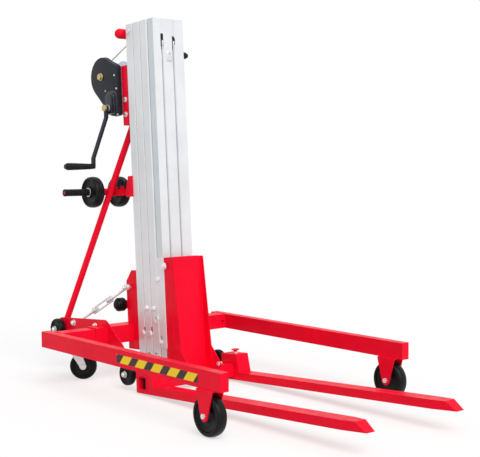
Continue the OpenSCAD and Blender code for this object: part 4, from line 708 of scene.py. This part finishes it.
coverScrews = {"zinc": ((4.0, 1198.0), (16.0, 1135.0), (19.0, 1014.5)), "yellow": ((-77.0, 1133.0),),
               "size": 0.0043}
for key, finish, slotName in (("zinc", zincPlate, "zinc"), ("yellow", yellowZinc, "yellow_zinc")):
    heads = [part for a, b in coverScrews[key]
             for part in boltOn(onMast(a, -cover["faceY"], b), -sideDir, coverScrews["size"])]
    addPiece("cover_screws_" + key, heads, finish, "base", slotName)
axleNut = {"size": 0.0157, "turnDeg": 20}
drumA, drumB = cover["drum"]
hub = boltOn(onMast(drumA, -cover["faceY"], drumB), -sideDir, axleNut["size"], False, axleNut["turnDeg"])
addPiece("drum_axle_nut", hub, yellowZinc, "base", "yellow_zinc")
crankNut = {"ends": ((-145.0, -1), (115.0, 1)), "flats": 0.0299, "high": 0.0096, "turnDeg": 12, "dome": 0.002}
crankA, crankB = cover["crank"]
rootNuts = [hexHead(onMast(crankA, y, crankB), sideDir * sign, crankNut["flats"], crankNut["high"],
                    crankNut["turnDeg"], crankNut["dome"]) for y, sign in crankNut["ends"]]
addPiece("crank_nuts", rootNuts, yellowZinc, "crank", "yellow_zinc")

# socket bolts that hold the winch channel, with a dark disc on each head as painted shade in its socket
channel = {"a": 54.0, "y": 86.0, "b": (1011.0, 1080.0), "flats": 0.0186, "high": 0.0064, "turnDeg": 8,
           "washer": (0.0125, 0.004, 0.0018), "socketR": 0.0045, "socketIn": 0.5,
           "socketZ": (-0.001, 0.0002, 0.0003)}
socketR, (deepZ, rimZ, midZ) = channel["socketR"], (channel["high"] + z for z in channel["socketZ"])
socket = [(socketR, deepZ), (socketR, rimZ), (socketR * channel["socketIn"], midZ)]
heads, sockets = [], []
for b in channel["b"]:
    for sign in signs:
        spot, out = onMast(channel["a"], sign * channel["y"], b), sideDir * sign
        heads += [washer(spot, out, *channel["washer"]),
                  hexHead(spot, out, channel["flats"], channel["high"], channel["turnDeg"])]
        sockets.append(turned(socket, spot, out, 24))
addPiece("channel_bolts", heads, zincPlate, "base", "zinc")
# dark discs painted as the shade inside the sockets
addPiece("channel_socket_shade", sockets, blackSteelAndShade, "base", "black_steel")
print("hoist: winch covered")

# turnbuckle rods: rolled thread with flat eyes
rod = {"top": (30.0, 104.0, 210.0), "low": (-250.0, 209.0, 240.0), "r": 0.006, "pitch": 0.00175,
       "height": 0.0009, "start": 0.0095, "bodyL": 0.128, "held": 0.0352, "around": 24}
eye = {"r": 0.014, "half": 0.0084, "pinR": 0.00505, "edge": 0.003, "edgeShare": 0.3, "around": 40}
def threadedRod(fromPoint, toPoint):
    # radius = r - height |triangle wave of (distance / pitch - t / 2 pi)|
    path, at = evenPath([fromPoint, toPoint], rod["pitch"] / 5)
    t = turnOf(rod["around"])
    wave = np.abs(np.mod(at[:, None] / rod["pitch"] - t[None] / (2 * math.pi), 1.0) * 2 - 1)
    return carry(path, polar(rod["r"] - rod["height"] * wave, t))


e, turnIn = eye["edge"], eye["edge"] * eye["edgeShare"]
eyeProfile = bothHalves([(eye["pinR"], -eye["half"]), (eye["r"] - e, -eye["half"]),
                         (eye["r"] - turnIn, -eye["half"] + turnIn), (eye["r"], -eye["half"] + e)])
rods = []
for sign in signs:
    (topA, topY, topB), (lowX, lowY, lowZ) = rod["top"], rod["low"]
    top, low = onMast(topA, sign * topY, topB), onBase(lowX, sign * lowY, lowZ)
    span = np.linalg.norm(top - low)
    along = (top - low) / span
    reach = (span - rod["bodyL"]) / 2 + rod["held"]
    for pin, way in ((low, along), (top, -along)):
        rods.append(threadedRod(pin + way * rod["start"], pin + way * reach))
        rods.append(revolve(eyeProfile, pin, sideDir, eye["around"]))
addPiece("threaded_rods", rods, zincPlate, "base", "zinc", ["turnbuckle_rods"], sharpDeg=50)
print("hoist: rods threaded")

# plunger collar on the fork's heel, and sleeve on the stem
plunger = {"a": 382.0, "y": 239.0, "heelTop": -111.0, "washer": (0.0135, 0.0064, 0.0022), "flats": 0.021,
           "high": 0.0045, "turnDeg": 8, "sink": 0.001}
sleeve = {"boreR": 0.00605, "r": 0.0068, "lipR": 0.0085, "z": (0.0075, 0.008, 0.0095), "around": 32}
stepZ, lipZ, endZ = sleeve["z"]
sleeveProfile = [(sleeve["boreR"], 0.0), (sleeve["r"], 0.0), (sleeve["r"], stepZ), (sleeve["lipR"], lipZ),
                 (sleeve["lipR"], endZ), (sleeve["boreR"], endZ)]
for side, sign in sides:
    foot = onMast(plunger["a"], sign * plunger["y"], plunger["heelTop"])
    onWasher = foot + upDir * plunger["washer"][2]
    collar = [washer(foot, upDir, *plunger["washer"]),
              hexHead(onWasher, upDir, plunger["flats"], plunger["high"], plunger["turnDeg"])]
    stem = revolve(sleeveProfile, foot - upDir * plunger["sink"], upDir, sleeve["around"])
    addPiece("plunger_collar_" + side, collar, zincPlate, "fork_" + side, "zinc")
    addPiece("plunger_sleeve_" + side, [stem], zincPlate, "plunger_" + side, "zinc")

# screws and slots in the sides of the mast sections; each slot is a dark patch, painted shade for the opening
railY = 87.0
railScrews = {"base": ((124.0, 2.0),), "mast_2": ((180.0, 2.0), (156.0, 117.0)), "mast_3": ((212.0, 117.0),),
              "carriage": ((255.0, -33.0), (255.0, 251.0))}
railScrewSize = 0.0112
for body, spots in railScrews.items():
    heads = [part for a, b in spots for sign in signs
             for part in boltOn(onMast(a, sign * railY, b), sideDir * sign, railScrewSize)]
    addPiece("rail_screws_" + body, heads, brightZinc, body, "zinc")
# dark patches painted as the shade inside the slots
railSlots = {"base": (132.0, 18.0), "mast_2": (188.0, 21.0), "carriage": (264.0, -14.0)}
slotShape = {"halfA": 2.4, "halfB": 11.0, "corner": 2.2, "y": (-0.5, 0.35)}
loop = roundedBox(slotShape["halfA"], slotShape["halfB"], slotShape["corner"])
for body, (a, b) in railSlots.items():
    slotShades = [sidePatch(loop, a, b, [sign * (railY + y) for y in slotShape["y"]]) for sign in signs]
    addPiece("rail_slot_shade_" + body, slotShades, blackSteelAndShade, body, "black_steel")

# painted shade: dark lines along the gaps where the sections meet, and darker, bluish strips on the sides of
# the front guide
jointShadeLines = {"base": 134.0, "mast_2": 190.0}
jointShadeShape = {"half": 0.9, "y": 83.0, "sink": 0.3, "out": 1.5, "b": (-150.0, 1415.0)}
j = jointShadeShape
for body, a in jointShadeLines.items():
    # thin dark strips painted along each joint as the shade in the gap between the sections
    lines = [sideStrip(a - j["half"], a + j["half"], j["y"], j["sink"], j["out"], *j["b"], sign)
             for sign in signs]
    addPiece("joint_shade_lines_" + body, lines, blackSteelAndShade, body, "mast")
# strips of painted shade on the guide's sides
guide = {"a": (251.2, 291.0), "y": 83.0, "sink": 0.2, "out": 0.2, "b": (347.0, 1418.0)}
shades = [sideStrip(*guide["a"], guide["y"], guide["sink"], guide["out"], *guide["b"], sign)
          for sign in signs]
addPiece("guide_painted_shade", shades, mastPaintedShade, "mast_3", "mast")

# end pads at the mast's foot, each with a dark patch in front and below, painted shade in the gap beside it
footPads = {"mast_2": (151.0, -82.0), "mast_3": (207.0, -80.0)}
padShape = {"halfA": 9.0, "halfB": 3.2, "corner": 1.2, "y": (-0.4, 2.4)}
gapShape = {"shares": (0.8, 0.6), "forward": 9.0, "down": 7.5, "y": (-0.4, 0.5)}
loop = roundedBox(padShape["halfA"], padShape["halfB"], padShape["corner"])
for body, (a, b) in footPads.items():
    pads = [sidePatch(loop, a, b, [sign * (railY + y) for y in padShape["y"]]) for sign in signs]
    addPiece("foot_pads_" + body, pads, brightZinc, body, "zinc")
    # dark patch painted as the shade in the gap in front of and below the pad
    gaps = [sidePatch(loop * gapShape["shares"], a + gapShape["forward"], b - gapShape["down"],
                      [sign * (railY + y) for y in gapShape["y"]]) for sign in signs]
    addPiece("foot_gap_shade_" + body, gaps, blackSteelAndShade, body, "mast")

# ring on the lock pin, and the carrier's upper bolts
ring = {"a": 235.0, "b": 68.4, "y": -91.4, "r": 13.2, "wireR": 0.0025, "around": 48, "wireAround": 16}
hoop = polar(ring["r"], turnOf(ring["around"]))
hoop = carry(onMast(ring["a"] + hoop[:, 0], ring["y"], ring["b"] + hoop[:, 1]),
             polar(ring["wireR"], turnOf(ring["wireAround"])), closed=True)
addPiece("pull_ring", [hoop], brightZinc, "lock_pin", "zinc", sharpDeg=60)
carrierBolt = {"a": 314.0, "y": 93.0, "b": 311.0, "size": 0.0135}
carrierBolts = []
for sign in signs:
    spot = onMast(carrierBolt["a"], sign * carrierBolt["y"], carrierBolt["b"])
    carrierBolts += boltOn(spot, sideDir * sign, carrierBolt["size"])
addPiece("carrier_bolts", carrierBolts, brightZinc, "carriage", "zinc")

# strap standing on the right loading arm: a flat strip bent into an arch
strap = {"a": (-74.0, -20.0), "b": (670.0, 710.0), "y": -58.5, "bend": 14.0, "halfThick": 0.0025,
         "halfWide": 0.0065, "corner": 0.0015}
(fromA, toA), (footB, topB), r = strap["a"], strap["b"], strap["bend"]
arch = np.concatenate([[(fromA, footB)], arcLine((fromA + r, topB - r), r, 180, 90, 9),
                       arcLine((toA - r, topB - r), r, 90, 0, 9), [(toA, footB)]])
strip = carry(onMast(arch[:, 0], strap["y"], arch[:, 1]),
              roundedBox(strap["halfThick"], strap["halfWide"], strap["corner"]), start=-forwardDir)
addPiece("arm_strap", [strip], blackSteelAndShade, "base", "black_steel", sharpDeg=50)
print("hoist: small hardware set")

# weld beads along the joints of the painted frame
bead = {"r": 0.0026, "ripple": 0.13, "pitch": 0.0055, "around": 10, "fade": 0.003, "fadeTo": 0.25,
        "sharpDeg": 80}
def weldBead(fromPoint, toPoint):
    # radius = r (1 + ripple sin(2 pi distance / pitch)), thinner at both ends
    path, at = evenPath([fromPoint, toPoint], bead["pitch"] / 4)
    ends = np.clip(np.minimum(at, at[-1] - at) / bead["fade"], bead["fadeTo"], 1.0) ** 0.5
    radius = bead["r"] * ends * (1 + bead["ripple"] * np.sin(2 * math.pi * at / bead["pitch"]))
    return carry(path, polar(radius[:, None], turnOf(bead["around"])))


weld = {"stubX": (-35.0, 35.0), "stubY": 465.0, "stubZ": (178.0, 246.0), "stubTopX": (-34.0, 34.0),
        "stubTopZ": 247.0, "plateY": (226.0, 232.0), "plateTopX": (-38.0, 6.0), "plateTopZ": 252.0,
        "frontX": 40.0, "frontZ": (175.0, 240.0), "carrierA": 357.0, "carrierY": 86.0,
        "carrierB": ((-40.0, 120.0), (150.0, 320.0)), "footA": (345.0, 400.0), "footB": -153.0}
baseWelds, carriageWelds = [], []
for side, sign in sides:
    stubY, carrierY = sign * weld["stubY"], sign * weld["carrierY"]
    legWelds = [weldBead(*onBase(x, stubY, weld["stubZ"])) for x in weld["stubX"]]
    legWelds.append(weldBead(*onBase(weld["stubTopX"], stubY, weld["stubTopZ"])))
    addPiece("leg_welds_" + side, legWelds, redPaint, "leg_" + side, "red", sharpDeg=bead["sharpDeg"])
    baseWelds += [weldBead(*onBase(weld["plateTopX"], sign * y, weld["plateTopZ"])) for y in weld["plateY"]]
    baseWelds += [weldBead(*onBase(weld["frontX"], sign * y, weld["frontZ"])) for y in weld["plateY"]]
    carriageWelds += [weldBead(*onMast(weld["carrierA"], carrierY, b)) for b in weld["carrierB"]]
    carriageWelds.append(weldBead(*onMast(weld["footA"], carrierY, weld["footB"])))
addPiece("base_welds", baseWelds, redPaint, "base", "red", sharpDeg=bead["sharpDeg"])
addPiece("carriage_welds", carriageWelds, redPaint, "carriage", "red", sharpDeg=bead["sharpDeg"])
print("hoist: welds run")

# plugs in the legs' rear ends: an outline stepped out from the bore to the rim, steps are (inset, x)
plug = {"x": -77.0, "y": 485.0, "z": 212.0, "halfY": 18.6, "halfZ": 33.6, "corner": 3.0,
        "steps": ((4.4, 12.0), (4.4, 0.1), (0.2, 0.0), (0.0, -1.2), (1.2, -3.0), (7.0, -3.4), (9.0, -2.2))}
for side, sign in sides:
    rings = []
    for inset, x in plug["steps"]:
        loop = roundedBox(plug["halfY"] - inset, plug["halfZ"] - inset, plug["corner"])
        rings.append(onBase(plug["x"] + x, sign * plug["y"] + loop[:, 0], plug["z"] + loop[:, 1]))
    addPiece("leg_plug_" + side, [loft(np.stack(rings))], gripRubber, "leg_" + side, "grip", sharpDeg=40)

# dark stoppers set back in the ends of the fork crossbar; they serve as end plugs and also as painted shade
# for the dark inside of the tube
stopper = {"a": 372.0, "b": -183.0, "half": 25.8, "corner": 1.5, "y": (252.0, 255.0)}
loop = roundedBox(stopper["half"], stopper["half"], stopper["corner"])
stoppers = [sidePatch(loop, stopper["a"], stopper["b"], [sign * y for y in stopper["y"]]) for sign in signs]
addPiece("crossbar_stopper_shade", stoppers, blackSteelAndShade, "carriage", "black_steel")

# small plate between the ropes with two screws, and dark patches painted as the shade in the mouths of the
# rope slots
keeper = {"a": 291.5, "y": 2.5, "b": 1252.0, "halfY": 16.0, "halfB": 24.0, "corner": 2.5, "thick": 1.6,
          "steps": ((0.0, 0.05), (0.0, 1.1), (0.5, 1.6)), "screwB": (1236.0, 1268.0), "screwSize": 0.0052}
rings = []
for inset, out in keeper["steps"]:
    loop = roundedBox(keeper["halfY"] - inset, keeper["halfB"] - inset, keeper["corner"])
    rings.append(onMast(keeper["a"] + out, keeper["y"] + loop[:, 0], keeper["b"] + loop[:, 1]))
addPiece("rope_keeper", [loft(np.stack(rings))], zincPlate, "mast_3", "zinc", sharpDeg=40)
# dark patches in the slot mouths: painted shade
mouth = {"slots": ((-36.0, 1322.0, 31.0), (29.0, 1322.0, 18.0)), "half": 7.5, "corner": 7.0,
         "a": (-0.4, 0.35)}
mouths = []
for y, b, halfB in mouth["slots"]:
    loop = roundedBox(mouth["half"], halfB, mouth["corner"])
    rings = [onMast(keeper["a"] + a, y + loop[:, 0], b + loop[:, 1]) for a in mouth["a"]]
    mouths.append(loft(np.stack(rings)))
addPiece("slot_mouth_shade", mouths, blackSteelAndShade, "mast_3", "mast")
faceA = keeper["a"] + keeper["thick"]
keeperScrews = [part for b in keeper["screwB"]
                for part in boltOn(onMast(faceA, keeper["y"], b), forwardDir, keeper["screwSize"])]
addPiece("keeper_screws", keeperScrews, zincPlate, "mast_3", "zinc")

# bolts through the carrier's side plates, seen from outside and inside
gusset = {"a": 449.0, "b": -135.0, "outerY": 92.8, "innerY": 85.4, "size": 0.0088}
gussetBolts = []
for sign in signs:
    for y, out in ((gusset["outerY"], sideDir * sign), (gusset["innerY"], -sideDir * sign)):
        gussetBolts += boltOn(onMast(gusset["a"], sign * y, gusset["b"]), out, gusset["size"])
addPiece("gusset_bolts", gussetBolts, zincPlate, "carriage", "zinc")
print("hoist: plugs and plates set")

# camera and light
view = {"place": (3.45084, -2.8224, 0.9868), "right": (0.641783, 0.766875, -0.004193),
        "up": (-0.04329, 0.041686, 0.998192), "look": (-0.765663, 0.640441, -0.059952),
        "lens": 78.84, "sensor": 36.0}
lensData = bpy.data.cameras.new("photoCamera")
lensData.sensor_fit = "HORIZONTAL"
lensData.sensor_width = view["sensor"]
lensData.lens = view["lens"]
camera = bpy.data.objects.new("photoCamera", lensData)
turn = Matrix((view["right"], view["up"], [-c for c in view["look"]])).transposed()
camera.matrix_world = Matrix.Translation(view["place"]) @ turn.to_4x4()
scene.collection.objects.link(camera)
scene.camera = camera

light = {"ambient": 0.52, "sun": 2.15, "sunDeg": 45.0, "sunFrom": (0.66, -0.20, 0.72)}
paper = {"lit": 0.70, "seen": 0.40, "glow": 0.60, "rough": 0.9, "reach": 60.0}
white = (1, 1, 1, 1)
def seenOrElse(tree, seenValue, otherValue):
    # one value for camera, glossy and transmission rays, another for the light that falls on things
    path = tree.nodes.new("ShaderNodeLightPath")
    seen = path.outputs["Is Camera Ray"]
    for name in ("Is Glossy Ray", "Is Transmission Ray"):
        seen = mathNode(tree, "MAXIMUM", seen, path.outputs[name])
    pick = tree.nodes.new("ShaderNodeMapRange")
    pick.inputs["To Min"].default_value = otherValue
    pick.inputs["To Max"].default_value = seenValue
    tree.links.new(seen, pick.inputs["Value"])
    return pick.outputs["Result"]


world = bpy.data.worlds.new("studio")
scene.world = world
world.use_nodes = True
tree = world.node_tree
back = tree.nodes["Background"]
back.inputs["Color"].default_value = white
tree.links.new(seenOrElse(tree, 1.0, light["ambient"]), back.inputs["Strength"])
sunData = bpy.data.lights.new("softSun", "SUN")
sunData.energy = light["sun"]
sunData.angle = math.radians(light["sunDeg"])
sun = bpy.data.objects.new("softSun", sunData)
sun.rotation_euler = Vector(light["sunFrom"]).to_track_quat("Z", "Y").to_euler()
scene.collection.objects.link(sun)

floorMesh = bpy.data.meshes.new("floor")
corners = [(paper["reach"] * x, paper["reach"] * y, 0) for x, y in ((-1, -1), (1, -1), (1, 1), (-1, 1))]
floorMesh.from_pydata(corners, [], [(0, 1, 2, 3)])
floor = bpy.data.objects.new("floor", floorMesh)
scene.collection.objects.link(floor)
floorFinish, tree, shader = newFinish("floorPaper", Roughness=paper["rough"], Specular_IOR_Level=0.0,
                                      Emission_Color=white)
tree.links.new(seenOrElse(tree, paper["seen"], paper["lit"]), shader.inputs["Base Color"])
tree.links.new(seenOrElse(tree, paper["glow"], 0.0), shader.inputs["Emission Strength"])
floorMesh.materials.append(floorFinish)
print("hoist: camera and light set")
